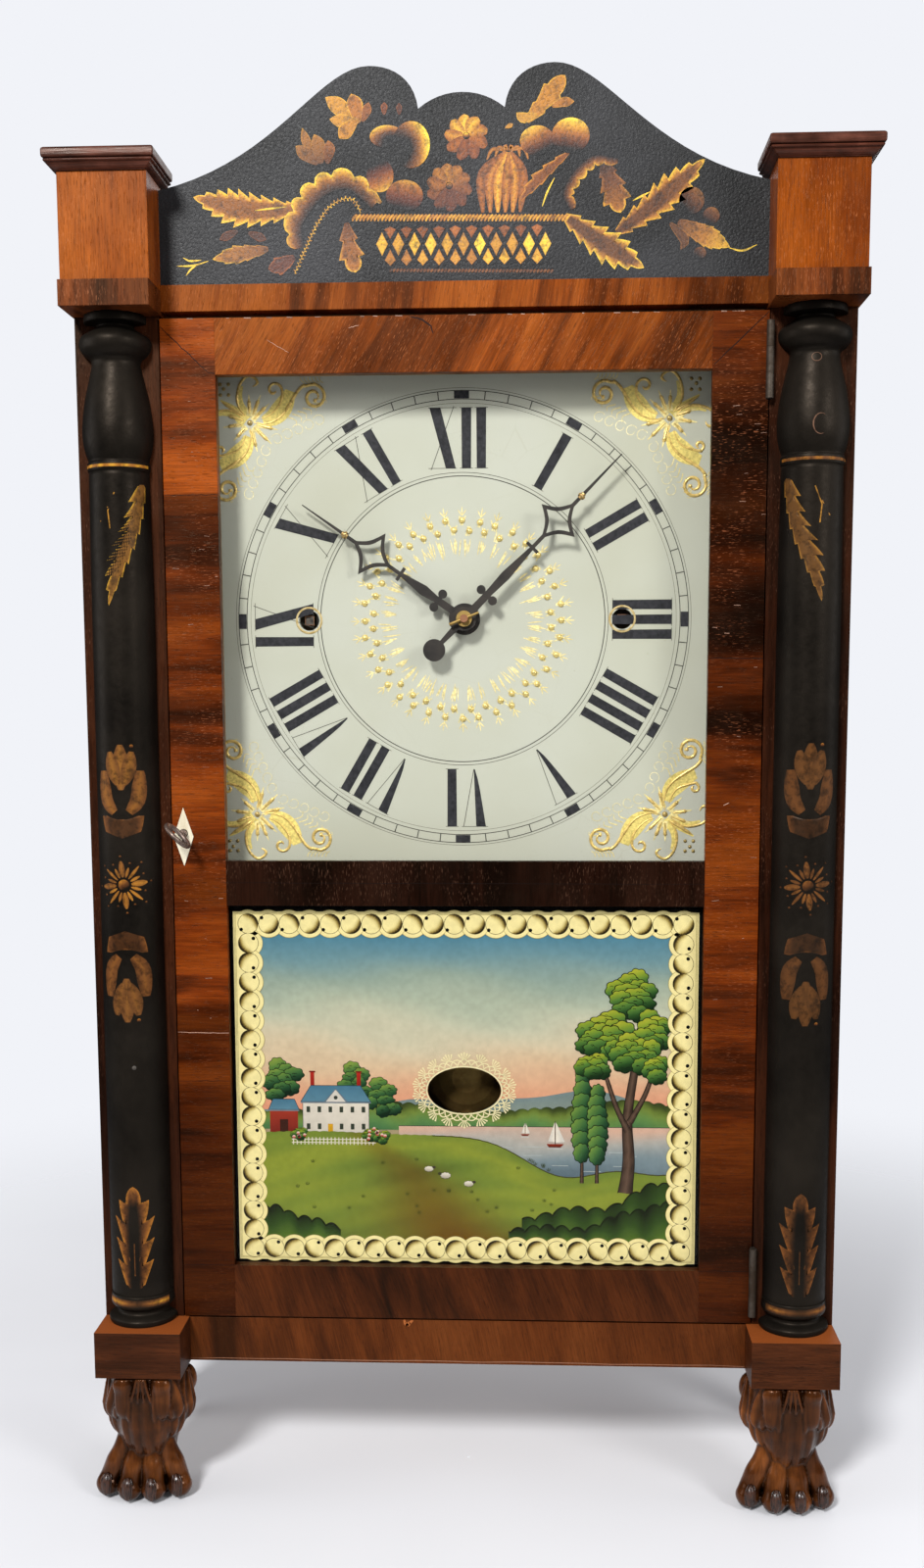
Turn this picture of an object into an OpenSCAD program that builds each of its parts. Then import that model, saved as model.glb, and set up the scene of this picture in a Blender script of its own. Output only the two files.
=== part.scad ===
// Column and splat shelf clock with a weight-driven thirty-hour movement and hour strike.
// Millimetres. X runs to the right, Y to the back and Z up.
// The origin lies on the floor, under the middle of the clock.

/* [Case] */
// Width across the case sides
case_w = 440; // [436:1:446]
// Depth from the face of the stiles to the back of the backboard
case_d = 113; // [113:1:120]
// Height of the feet
foot_h = 80; // [74:1:90]
// Height of the lower corner blocks
block_low_h = 28; // [26:1:32]
// Clear height of the door opening
door_open_h = 591.5; // [591:0.5:593]
// Width of the case stiles
stile_w = 48; // [46:1:50]
// How far the lower blocks and the bands stand in front of the stiles
block_out = 28; // [26:1:30]
// Largest radius of the half columns
column_r = 20.2; // [18:0.2:21]

/* [Top] */
// Height of the rail under the splat
cornice_h = 14.5; // [12:0.5:18]
// Height of the upper blocks above their bands
block_up_h = 57; // [55:1:62]
// Rise of the splat above the rail
splat_rise = 115.3; // [110:0.1:120]
// Thickness of the splat board
splat_t = 10; // [8:1:12]

/* [Door] */
// Width of the door stiles
door_stile_w = 31.2; // [30:0.1:32]
// Thickness of the door frame
door_t = 18; // [17:1:19]
// Thickness of the glass panes
glass_t = 2; // [1.6:0.1:2.4]

/* [Dial and hands] */
// Width of the square dial board
dial_w = 310; // [306:1:311]
// Height of the hand centre above the floor
dial_z = 528; // [526:1:530]
// Distance of each winding hole from the hand centre
wind_x = 92.5; // [92.5:0.5:92.5]
// Direction of the minute hand, clockwise from twelve
minute_angle = 44.4; // [0:0.1:360]
// Direction of the hour hand, clockwise from twelve
hour_angle = 305; // [0:0.5:360]

/* [Pendulum and weights] */
// Distance from the suspension to the middle of the bob
pendulum_l = 375; // [360:1:385]
// Radius of the bob
bob_r = 24; // [20:0.5:26]
// Length of each cast weight
weight_l = 130; // [110:1:135]
// Radius of each cast weight
weight_r = 19.5; // [17:0.1:19.5]
// Distance of each weight from the middle of the case
weight_x = 184; // [184:0.5:185]

/* [Hidden] */
$fn = 48;

// Depths, counted from the face of the stiles
face_y = -40;
side_t = 12;
board_t = 12;
stile_t = 14;
back_t = 8;
back_y = face_y + case_d;
inner_back_y = back_y - back_t;
block_low_y = face_y - block_out;
block_up_out = block_out - 2;
block_up_back = 10;
cap_over = 6.5;

// Heights of the case
case_x = case_w / 2;
side_x = case_x - side_t;
stile_x = case_x - stile_w;
block_x = stile_x - 1.5;
low_block_x = stile_x - 3.5;
floor_z = foot_h + block_low_h;
bottom_rail_top = floor_z - 0.5;
lintel_z = floor_z + door_open_h;
band_z = lintel_z - 2.5;
cornice_z = lintel_z + cornice_h;
block_z = cornice_z - 3;
cap_z = block_z + block_up_h;
bottom_board_z = foot_h + 14;
column_x = case_x - 23.5;

// Door frame and its two panes
door_x = stile_x - 0.8;
door_front = face_y - 1;
door_back = door_front + door_t;
door_z0 = floor_z + 0.8;
door_z1 = lintel_z - 4;
pane_x = door_x - door_stile_w;
mid_z0 = door_z0 + 252.2;
mid_z1 = mid_z0 + 26.5;
top_rail_h = 31;
bottom_rail_h = 32.2;
rabbet = 6;
lip_t = 5;
pane_y = door_front + lip_t;
pane_gap = 0.4;
strip_w = 5;
strip_t = 6;

// Lock in the left door stile
key_x = -164.5;
key_z = 403.9;
lock_x1 = -152;
lock_z0 = 386;
lock_z1 = 422;
lock_y0 = face_y + 8;
lock_wall = 1.5;
key_r = 1.6;
key_slant = 46;

// Butt hinges at the right edge of the door
hinge_x = door_x + 0.4;
hinge_y = face_y - 3.4;
knuckle_r = 2.2;
pin_r = 1;
leaf_t = 1.3;
leaf_deep = 12;
hinge_h = 42;
hinge_zs = [lintel_z - 52, floor_z + 6];
knuckle_h = hinge_h / 3;

// Dial and the movement behind it
dial_y0 = face_y + 27;
dial_y1 = face_y + 33;
minute_y0 = face_y + 15.5;
minute_y1 = minute_y0 + 1.5;
hour_y0 = face_y + 20;
hour_y1 = hour_y0 + 1.6;
post_y1 = face_y + 47;
front_plate_y1 = post_y1 + 6;
great_y0 = face_y + 55;
great_y1 = face_y + 61;
back_plate_y0 = face_y + 90;
back_plate_y1 = back_plate_y0 + 6;
plate_z0 = 425;
plate_z1 = 645;
post_x0 = 146;
post_x1 = 160;
cord_y = face_y + 84;
cord_r = 1;
run_gap = 0.05;

// Going train: great wheel, centre, third and escape arbors
great_teeth = 64;
great_leaves = 10;
great_m = 2 * wind_x / (great_teeth + great_leaves);
centre_teeth = 56;
third_leaves = 7;
centre_m = 1.2;
third_z = dial_z + centre_m * (centre_teeth + third_leaves) / 2;
third_teeth = 56;
escape_leaves = 7;
third_m = 1;
escape_z = third_z + third_m * (third_teeth + escape_leaves) / 2;
escape_teeth = 46;
escape_r = 22.5;
hang_z = 625;
arbor_r = 2.3;
pivot_r = 1.2;

// Motion work between the two hands
motion_m = 1.2;
cannon_leaves = 10;
motion_teeth = 30;
motion_leaves = 8;
hour_teeth = 32;
motion_d = motion_m * (cannon_leaves + motion_teeth) / 2;
motion_dir = -45;
motion_x = motion_d * cos(motion_dir);
motion_z = dial_z + motion_d * sin(motion_dir);
cannon_r = 4;
hour_pipe_r = 6.2;

// Strike train: great wheel, pin wheel and fly
strike_m = 2.2;
pin_dir = 215;
pin_d = strike_m * (great_teeth + great_leaves) / 2;
pin_x = wind_x + pin_d * cos(pin_dir);
pin_z = dial_z + pin_d * sin(pin_dir);
pin_teeth = 48;
fly_leaves = 8;
pin_m = 1.2;
fly_dir = -90;
fly_d = pin_m * (pin_teeth + fly_leaves) / 2;
fly_x = pin_x + fly_d * cos(fly_dir);
fly_z = pin_z + fly_d * sin(fly_dir);
hammer_x = 72;
hammer_z = 438;
hammer_l = 93;
bell_x = 60;
bell_z = 300;
bell_r = 38;

// Weights, cords and pulleys
drum_r = 14;
drum_wrap = drum_r + cord_r + 0.15;
pulley_pitch = 12;
pulley_r = 14;
pulley_x = weight_x - pulley_pitch;
pulley_z = lintel_z - 17.5;
weight_z0 = 330;
hook_l = 10;

// A block between two corners
module block(x0, x1, y0, y1, z0, z1)
    translate([x0, y0, z0]) cube([x1 - x0, y1 - y0, z1 - z0]);

// The same thing on the right and on the left
module both_sides() {
    children();
    mirror([1, 0, 0]) children();
}

// A round bar that runs from front to back
module bar(x, z, y0, y1, r)
    translate([x, y1, z]) rotate([90, 0, 0]) cylinder(r = r, h = y1 - y0);

// A flat shape, drawn in X and Z, made solid between two depths
module slab(y0, y1)
    translate([0, y1, 0]) rotate([90, 0, 0]) linear_extrude(y1 - y0) children();

// Point on a cubic curve
function curve(a, b, c, d, t) =
    a * pow(1 - t, 3) + 3 * b * t * pow(1 - t, 2) + 3 * c * t * t * (1 - t) + d * pow(t, 3);
function curve_points(a, b, c, d, n) = [for (i = [0:n - 1]) curve(a, b, c, d, i / n)];

// Involute flank: point at roll angle t on base radius rb
function involute(rb, t) =
    [rb * (cos(t) + t * PI / 180 * sin(t)), rb * (sin(t) - t * PI / 180 * cos(t))];
function roll_at(rb, r) = sqrt(pow(r / rb, 2) - 1) * 180 / PI;
function turned(p, a) = [p[0] * cos(a) - p[1] * sin(a), p[0] * sin(a) + p[1] * cos(a)];
function polar_angle(p) = atan2(p[1], p[0]);

// One tooth, centred on the X axis, counted from the root to the tip and back
function tooth(teeth, m, tip, slack) =
    let (
        r = m * teeth / 2,
        rb = r * cos(20),
        ro = r + tip,
        rr = r - 1.2 * m,
        r0 = max(rb, rr) + 0.001,
        half = 90 / teeth - slack / r * 90 / PI,
        lean = polar_angle(involute(rb, roll_at(rb, r))),
        flank = [for (k = [0:2])
            turned(involute(rb, roll_at(rb, r0 + (ro - r0) * k / 2)), -half - lean)],
        foot = turned([rr, 0], polar_angle(flank[0])),
        side = concat([foot], flank),
        other = [for (k = [3:-1:0]) [side[k][0], -side[k][1]]]
    ) concat(side, other);

// Flat gear outline with its first tooth turned to angle aim
module gear_shape(teeth, m, tip, slack, aim)
    polygon([for (i = [0:teeth - 1]) each
        [for (p = tooth(teeth, m, tip, slack)) turned(p, aim + 360 / teeth * i)]]);

// A wooden wheel with low teeth, and a pinion with long leaves
module wheel(x, z, y0, y1, teeth, m, aim, bore) {
    slab(y0, y1) translate([x, z]) difference() {
        gear_shape(teeth, m, 0.4 * m, 0.12 * m, aim);
        if (bore > 0) circle(r = bore);
    }
}

module pinion(x, z, y0, y1, leaves, m, aim, bore) {
    slab(y0, y1) translate([x, z]) difference() {
        gear_shape(leaves, m, 0.8 * m, 0.12 * m, aim);
        if (bore > 0) circle(r = bore);
    }
}

// Arbor between the plates with a thinner pivot at each end
module arbor(x, z, r) {
    bar(x, z, front_plate_y1 + 0.6, back_plate_y0 - 0.6, r);
    bar(x, z, post_y1 + 1, back_plate_y1 - 1, pivot_r);
}

// Carcass boards
module case_sides() color("saddlebrown") both_sides()
    block(side_x, case_x, face_y + stile_t, back_y, foot_h, block_z);

module top_board() color("peru") {
    difference() {
        union() {
            block(-side_x, side_x, face_y + stile_t, inner_back_y, block_z - board_t, block_z);
            both_sides() pulley_cheeks();
        }
        both_sides() bar(pulley_x, pulley_z, cord_y - 12, cord_y + 12, 2 + run_gap);
    }
}

module pulley_cheeks() {
    for (side = [-1, 1])
        block(pulley_x - 10, pulley_x + 10, cord_y + side * 6.5 - 2, cord_y + side * 6.5 + 2,
              pulley_z - 10, block_z - board_t);
}

module bottom_board() color("peru")
    block(-side_x, side_x, face_y + stile_t, inner_back_y, bottom_board_z, bottom_board_z + board_t);

module backboard() color("burlywood")
    block(-side_x, side_x, inner_back_y, back_y, bottom_board_z - 2, block_z);

module case_stiles() color("brown") difference() {
    both_sides() block(stile_x, case_x, face_y, face_y + stile_t, floor_z, band_z);
    block(-stile_x - 6, -stile_x + 1, lock_y0 + 2.4, face_y + stile_t + 1, 409, 417);
    for (z = hinge_zs)
        block(stile_x - 1, hinge_x + 0.15 + leaf_t, face_y - 1, face_y + leaf_deep + 0.1,
              z - 0.1, z + hinge_h + 0.1);
}

module top_rail() color("sienna")
    block(-block_x, block_x, face_y, face_y + stile_t, lintel_z, cornice_z);

module bottom_rail() color("sienna")
    block(-low_block_x, low_block_x, face_y, face_y + stile_t, foot_h, bottom_rail_top);

module lower_blocks() color("maroon") both_sides()
    block(low_block_x, case_x, block_low_y, face_y + stile_t, foot_h, floor_z);

module block_bands() color("sienna") both_sides()
    block(block_x, case_x + 1, block_low_y, face_y + stile_t, band_z, block_z);

module upper_blocks() color("chocolate") both_sides()
    block(block_x, case_x, face_y - block_up_out, face_y + block_up_back, block_z, cap_z);

// Two-step cap with a thin groove in its face
module block_caps() color("saddlebrown") both_sides() {
    cap_layer(cap_z, cap_z + 3.4, 2.6);
    cap_layer(cap_z + 3.4, cap_z + 6.8, 0.4);
    cap_layer(cap_z + 6.8, cap_z + 7.6, 1.4);
    cap_layer(cap_z + 7.6, cap_z + 11, 0);
}

module cap_layer(z0, z1, inset)
    block(block_x - 5.5 + inset, case_x + cap_over - inset,
          face_y - block_up_out - 7 + inset, face_y + block_up_back + 4 - inset, z0, z1);

// Half columns: radius and height of each step of the turning, from the foot up
column_h = band_z - floor_z;
column_profile = [
    [column_r + 0.3, 0], [column_r + 0.3, 4.5], [15.5, 5.5], [15.5, 9], [18.2, 10],
    [19, 12], [19, 15.5], [18.4, 17], [18.9, 18], [18.6, 22],
    [18.2, column_h - 170], [17.2, column_h - 87], [17.9, column_h - 86],
    [17.9, column_h - 81.5], [17.2, column_h - 80.5], [19.2, column_h - 74],
    [column_r, column_h - 64], [19.6, column_h - 55], [18, column_h - 45],
    [15.4, column_h - 34], [14, column_h - 29], [13.8, column_h - 26], [17.4, column_h - 22],
    [20, column_h - 18.5], [column_r + 0.2, column_h - 15.5], [19, column_h - 12.5],
    [14.8, column_h - 9.5], [10.5, column_h - 6.5], [10.5, column_h - 5.5],
    [17.5, column_h - 4.5], [17.5, column_h]
];

module columns() color("dimgray") both_sides()
    translate([column_x, face_y, floor_z]) rotate([0, 0, 180])
        rotate_extrude(angle = 180) polygon(concat([[0, 0]], column_profile, [[0, column_h]]));

// Splat: half of its outline from the middle to the end
splat_top = cornice_z + splat_rise;
splat_half = concat(
    curve_points([0, splat_top - 14.6], [9, splat_top - 14.6], [17, splat_top - 17.5], [24, splat_top - 23], 6),
    curve_points([24, splat_top - 23], [26, splat_top - 7], [38, splat_top], [51.5, splat_top], 10),
    curve_points([51.5, splat_top], [79.5, splat_top], [104, cornice_z + 65], [block_x, cornice_z + 51.5], 18),
    [[block_x, cornice_z + 51.5], [block_x, cornice_z]]
);
splat_other_half = [for (i = [len(splat_half) - 1:-1:1]) [-splat_half[i][0], splat_half[i][1]]];

module splat() color("dimgray")
    slab(face_y + 1.5, face_y + 1.5 + splat_t) polygon(concat(splat_half, splat_other_half));

// Carved paw foot: leafy knee, ankle and four toes
foot_x = case_x - 27;
foot_y = face_y - 7;
knee_profile = [
    [0, 80], [25.5, 80], [27.5, 71], [28.3, 61], [27, 52], [23.5, 44], [20.5, 38], [19, 32], [18.6, 26],
    [20, 18], [21.5, 10], [21.5, 0], [0, 0]
];
toe_gap = 14.2;
toe_r = 6.6;

module front_feet() color("saddlebrown") both_sides() difference() {
    translate([foot_x, foot_y, 0]) {
        scale([foot_h / 80, 0.78, foot_h / 80]) rotate_extrude() polygon(knee_profile);
        for (i = [-1.5:1:1.5])
            hull() {
                translate([i * 9.5, abs(i) * 3 - 10, 24]) sphere(r = 5.6, $fn = 16);
                translate([i * toe_gap, abs(i) * 6 - 18.5, toe_r - 0.6]) sphere(r = toe_r, $fn = 16);
            }
    }
    block(foot_x - 40, foot_x + 40, foot_y - 40, foot_y + 40, -20, 0);
}

// Plain turned feet under the back corners
rear_profile = [
    [0, 80], [14, 80], [14, 70], [9, 68], [9, 64], [13.5, 56], [14, 46], [11.5, 30], [8.5, 14], [8.5, 0], [0, 0]
];

module rear_feet() color("saddlebrown") both_sides()
    translate([case_x - 15, back_y - 18, 0]) scale(foot_h / 80) rotate_extrude() polygon(rear_profile);

// Upright posts that carry the dial and the movement, with small dial clips
module movement_posts() color("tan") both_sides() {
    block(post_x0, post_x1, dial_y1, post_y1, bottom_board_z + board_t, block_z - board_t);
    for (z = [410, 640]) {
        block(dial_w / 2 + 0.2, post_x1, dial_y0 - 2.4, dial_y1, z, z + 12);
        block(dial_w / 2 - 6, post_x1, dial_y0 - 2.4, dial_y0 - 0.2, z, z + 12);
    }
}

// Pockets behind the door frame that take the two panes
module pane_pockets() {
    pane_pocket(mid_z1 - rabbet, door_z1 - top_rail_h + rabbet);
    pane_pocket(door_z0 + bottom_rail_h - rabbet, mid_z0 + rabbet);
}

module pane_pocket(z0, z1)
    block(-pane_x - rabbet, pane_x + rabbet, pane_y, door_back + 1, z0, z1);

module door_stile_left() color("brown") difference() {
    block(-door_x, -pane_x, door_front, door_back, door_z0, door_z1);
    pane_pockets();
    block(-door_x - 1, lock_x1 + 0.2, lock_y0, door_back + 1, lock_z0 - 0.2, lock_z1 + 0.2);
    bar(key_x, key_z, door_front - 1, lock_y0 + 1, key_r + 0.8);
}

module door_stile_right() color("brown") difference() {
    block(pane_x, door_x, door_front, door_back, door_z0, door_z1);
    pane_pockets();
    for (z = hinge_zs)
        block(hinge_x - 0.15 - leaf_t, door_x + 1, door_front - 1, face_y + leaf_deep + 0.1,
              z - 0.1, z + hinge_h + 0.1);
}

module door_rail(z0, z1) difference() {
    block(-pane_x, pane_x, door_front, door_back, z0, z1);
    pane_pockets();
}

module door_top_rail() color("sienna") door_rail(door_z1 - top_rail_h, door_z1);
module door_mid_rail() color("brown") door_rail(mid_z0, mid_z1);
module door_bottom_rail() color("sienna") door_rail(door_z0, door_z0 + bottom_rail_h);

module pane(z0, z1)
    block(-pane_x - rabbet + pane_gap, pane_x + rabbet - pane_gap, pane_y, pane_y + glass_t,
          z0 + pane_gap, z1 - pane_gap);

module dial_window_glass() color("lightcyan", 0.3) pane(mid_z1 - rabbet, door_z1 - top_rail_h + rabbet);
module tablet_glass() color("lightblue") pane(door_z0 + bottom_rail_h - rabbet, mid_z0 + rabbet);

// Four thin strips behind each pane
module strip_frame(z0, z1) {
    x1 = pane_x + rabbet;
    y0 = pane_y + glass_t;
    both_sides() block(x1 - strip_w, x1, y0, y0 + strip_t, z0, z1);
    block(strip_w - x1, x1 - strip_w, y0, y0 + strip_t, z0, z0 + strip_w);
    block(strip_w - x1, x1 - strip_w, y0, y0 + strip_t, z1 - strip_w, z1);
}

module glazing_strips() color("peru") {
    strip_frame(mid_z1 - rabbet, door_z1 - top_rail_h + rabbet);
    strip_frame(door_z0 + bottom_rail_h - rabbet, mid_z0 + rabbet);
}

// Bone diamond round the keyhole
module escutcheon() color("ivory") slab(door_front - 0.6, door_front) translate([key_x, key_z - 2.1])
    difference() {
        polygon([[0, 17.2], [5.8, 0], [0, -17.2], [-5.8, 0]]);
        translate([0, 2.1]) circle(r = key_r + 0.8);
    }

module lock_case() color("gray") difference() {
    block(-door_x, lock_x1, lock_y0, door_back, lock_z0, lock_z1);
    block(-door_x + lock_wall, lock_x1 - lock_wall, lock_y0 + lock_wall, door_back - lock_wall,
          lock_z0 + lock_wall, lock_z1 - lock_wall);
    block(-door_x - 1, -door_x + 3, lock_y0 + 2.9, lock_y0 + 6.1, 409.9, 416.1);
    bar(key_x, key_z, lock_y0 - 1, lock_y0 + 3, key_r + run_gap);
}

module lock_bolt() color("silver")
    block(-door_x + 0.1, -157, lock_y0 + 3, lock_y0 + 6, 410, 416);

// Key with a ring bow and a short bit
module key() color("darkgray") {
    bar(key_x, key_z, door_front - 8, lock_y0 + 6.5, key_r);
    bar(key_x, key_z, door_front - 4, door_front - 1, key_r + 0.7);
    block(key_x - 0.6, key_x + 0.6, lock_y0 + 2.5, lock_y0 + 6.4, key_z - 4.6, key_z);
    translate([key_x, door_front - 16.6, key_z]) rotate([0, key_slant, 0])
        rotate_extrude() translate([8.4, 0]) circle(r = 1.4, $fn = 20);
}

// Hinges: three knuckles on each, the middle one belongs to the door
module hinge_door_leaves() color("gray") for (z = hinge_zs) difference() {
    union() {
        translate([hinge_x, hinge_y, z + knuckle_h + 0.1]) cylinder(r = knuckle_r, h = knuckle_h - 0.2);
        block(hinge_x - 0.1 - leaf_t, hinge_x - 0.1, hinge_y, face_y + leaf_deep,
              z + knuckle_h + 0.1, z + 2 * knuckle_h - 0.1);
        block(hinge_x - 0.1 - leaf_t, hinge_x - 0.1, face_y - 0.9, face_y + leaf_deep, z, z + hinge_h);
    }
    translate([hinge_x, hinge_y, z - 1]) cylinder(r = pin_r + run_gap, h = hinge_h + 2);
}

module hinge_case_leaves() color("dimgray") for (z = hinge_zs) {
    for (k = [0, 2]) {
        z0 = z + k * knuckle_h;
        translate([hinge_x, hinge_y, z0]) cylinder(r = knuckle_r, h = knuckle_h);
        block(hinge_x + 0.1, hinge_x + 0.1 + leaf_t, hinge_y, face_y + leaf_deep, z0, z0 + knuckle_h);
    }
    block(hinge_x + 0.1, hinge_x + 0.1 + leaf_t, face_y - 0.9, face_y + leaf_deep, z, z + hinge_h);
    translate([hinge_x, hinge_y, z]) cylinder(r = pin_r, h = hinge_h);
}

// Painted wooden dial with its three holes
module dial() color("beige") difference() {
    block(-dial_w / 2, dial_w / 2, dial_y0, dial_y1, dial_z - 150, dial_z + 156);
    bar(0, dial_z, dial_y0 - 1, dial_y1 + 1, 8);
    both_sides() bar(wind_x, dial_z, dial_y0 - 1, dial_y1 + 1, 6);
}

// Open diamond with hollow sides, half-length a and half-width b
function hollow_side(a, b, n) = [for (i = [0:n - 1])
    let (t = i / n, pull = 0.42 * 4 * t * (1 - t) * 0.5)
    [b * t * (1 - pull), a * (1 - t) * (1 - pull)]];

module hollow_diamond(a, b) {
    quarter = hollow_side(a, b, 8);
    polygon(concat(
        quarter,
        [for (i = [8:-1:1]) i == 8 ? [b, 0] : [quarter[i][0], -quarter[i][1]]],
        [[0, -a]],
        [for (i = [1:8]) i == 8 ? [-b, 0] : [-quarter[i][0], -quarter[i][1]]],
        [for (i = [7:-1:1]) [-quarter[i][0], quarter[i][1]]]
    ));
}

// Hand drawn towards twelve: hub, twin balls, leaf, crossbar, diamond and needle
module hand_shape(y0, y1, hub, balls, leaf_w, bar_at, gem_at, gem_a, gem_b, collar_at, tip_at) {
    bar(0, 0, y0, y1, hub);
    slab(y0, y1)
        polygon([[-2.4, 0], [-2, balls + 2], [-leaf_w, (balls + bar_at) / 2 - 3], [-1.1, bar_at],
                 [-1.1, gem_at - gem_a + 2.5], [1.1, gem_at - gem_a + 2.5], [1.1, bar_at],
                 [leaf_w, (balls + bar_at) / 2 - 3], [2, balls + 2], [2.4, 0]]);
    for (side = [-1, 1]) bar(side * 4.6, balls, y0, y1, 2.6);
    block(-4.6, 4.6, y0, y1, balls - 1.2, balls + 1.2);
    block(-4.3, 4.3, y0, y1, bar_at - 0.9, bar_at + 0.9);
    slab(y0, y1) translate([0, gem_at]) difference() {
        hollow_diamond(gem_a, gem_b);
        hollow_diamond(gem_a - 4, gem_b - 4);
    }
    block(-1.9, 1.9, y0, y1, collar_at - 1, collar_at + 1);
    slab(y0, y1)
        polygon([[-1.1, gem_at + gem_a - 3], [-1, collar_at + 0.5], [-0.3, tip_at], [0.3, tip_at],
                 [1, collar_at + 0.5], [1.1, gem_at + gem_a - 3]]);
}

module minute_hand() color("black") translate([0, 0, dial_z]) rotate([0, minute_angle, 0])
    difference() {
        union() {
            hand_shape(minute_y0, minute_y1, 7, 18.9, 2.8, 56.7, 78, 14, 13.4, 97, 130);
            slab(minute_y0, minute_y1) polygon([[-2, -6.5], [-1.3, -20], [1.3, -20], [2, -6.5]]);
            bar(0, -25.3, minute_y0, minute_y1, 6.5);
        }
        bar(0, 0, minute_y0 - 1, minute_y1 + 1, cannon_r);
    }

module hour_hand() color("black") translate([0, 0, dial_z]) rotate([0, hour_angle, 0])
    difference() {
        hand_shape(hour_y0, hour_y1, 9.2, 18.8, 3.1, 45.7, 66.2, 13.4, 14.2, 85, 115.6);
        bar(0, 0, hour_y0 - 1, hour_y1 + 1, hour_pipe_r);
    }

module hand_washer() color("goldenrod") {
    difference() {
        bar(0, dial_z, face_y + 13.2, face_y + 14.4, 4.6);
        bar(0, dial_z, face_y + 12, face_y + 15, arbor_r);
    }
    translate([0, face_y + 12.2, dial_z]) rotate([0, 68, 0]) translate([0, 0, -9.2])
        cylinder(r1 = 0.95, r2 = 0.6, h = 18.5);
}

module minute_pipe() color("goldenrod") difference() {
    union() {
        bar(0, dial_z, face_y + 14.6, post_y1 - 0.7, cannon_r);
        pinion(0, dial_z, face_y + 43, post_y1 - 0.7, cannon_leaves, motion_m,
               motion_dir + 180 / cannon_leaves, 0);
    }
    bar(0, dial_z, face_y + 14, post_y1, arbor_r + run_gap);
}

module hour_wheel() color("tan") difference() {
    union() {
        bar(0, dial_z, face_y + 18.6, face_y + 42, hour_pipe_r);
        wheel(0, dial_z, face_y + 38.5, face_y + 41.5, hour_teeth, motion_m, motion_dir, 0);
    }
    bar(0, dial_z, face_y + 18, face_y + 43, cannon_r + run_gap);
}

module motion_wheel() color("tan") difference() {
    union() {
        wheel(motion_x, motion_z, face_y + 43, face_y + 46, motion_teeth, motion_m, motion_dir + 180, 0);
        bar(motion_x, motion_z, face_y + 41.5, face_y + 43.2, 3.2);
        pinion(motion_x, motion_z, face_y + 38.3, face_y + 41.7, motion_leaves, motion_m,
               motion_dir + 180 + 180 / motion_leaves, 0);
    }
    bar(motion_x, motion_z, face_y + 38, face_y + 47, 1.5 + run_gap);
}

// Pivot holes shared by the two plates
train_arbors = [[0, third_z], [pin_x, pin_z], [fly_x, fly_z], [hammer_x, hammer_z]];

module pivot_holes(y0, y1)
    for (p = train_arbors) bar(p[0], p[1], y0, y1, pivot_r + run_gap);

module front_plate() color("tan") {
    difference() {
        block(-post_x1 + 4, post_x1 - 4, post_y1, front_plate_y1, plate_z0, plate_z1);
        pivot_holes(post_y1 - 1, front_plate_y1 + 1);
        bar(0, dial_z, post_y1 - 1, front_plate_y1 + 1, arbor_r + run_gap);
        bar(0, escape_z, post_y1 - 1, front_plate_y1 + 1, 1.8 + run_gap);
        both_sides() bar(wind_x, dial_z, post_y1 - 1, front_plate_y1 + 1, 3 + run_gap);
    }
    bar(0, hang_z, face_y + 34, post_y1 + 2, 1.5);
    bar(motion_x, motion_z, face_y + 38, post_y1 + 2, 1.5);
}

module back_plate() color("tan") {
    difference() {
        block(-125, 125, back_plate_y0, back_plate_y1, plate_z0, plate_z1);
        pivot_holes(back_plate_y0 - 1, back_plate_y1 + 1);
        for (z = [dial_z, escape_z]) bar(0, z, back_plate_y0 - 1, back_plate_y1 + 1, pivot_r + run_gap);
        both_sides() bar(wind_x, dial_z, back_plate_y0 - 1, back_plate_y1 + 1, 1.5 + run_gap);
    }
    both_sides() for (z = [plate_z0 + 12, plate_z1 - 12]) bar(118, z, front_plate_y1, back_plate_y0, 6);
}

// Drum with its winding square, flange and ratchet
module drum(x) {
    bar(x, dial_z, face_y + 42, face_y + 64, 3);
    translate([x - 2.7, face_y + 29, dial_z - 2.7]) cube([5.4, 14, 5.4]);
    bar(x, dial_z, great_y1 + 0.6, great_y1 + 2, 17);
    bar(x, dial_z, great_y1 + 1.6, face_y + 87, drum_r);
    bar(x, dial_z, face_y + 86.5, face_y + 88, 18);
    bar(x, dial_z, face_y + 87, back_plate_y1 - 1, 1.5);
}

module time_drum() color("burlywood") drum(-wind_x);
module strike_drum() color("burlywood") drum(wind_x);

module time_great_wheel() color("peru")
    wheel(-wind_x, dial_z, great_y0, great_y1, great_teeth, great_m, 0, 3 + run_gap);
module strike_great_wheel() color("peru")
    wheel(wind_x, dial_z, great_y0, great_y1, great_teeth, strike_m, pin_dir, 3 + run_gap);

module centre_wheel() color("peru") {
    bar(0, dial_z, face_y + 10.5, back_plate_y0 - 0.6, arbor_r);
    bar(0, dial_z, back_plate_y0 - 1, back_plate_y1 - 1, pivot_r);
    pinion(0, dial_z, great_y0 - 0.5, great_y1 + 0.5, great_leaves, great_m, 180 + 180 / great_leaves, 0);
    wheel(0, dial_z, face_y + 76, face_y + 80, centre_teeth, centre_m, 90, 0);
}

module third_wheel() color("peru") {
    arbor(0, third_z, 2);
    pinion(0, third_z, face_y + 75.5, face_y + 80.5, third_leaves, centre_m, 270 + 180 / third_leaves, 0);
    wheel(0, third_z, face_y + 66, face_y + 70, third_teeth, third_m, 90, 0);
}

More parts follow.
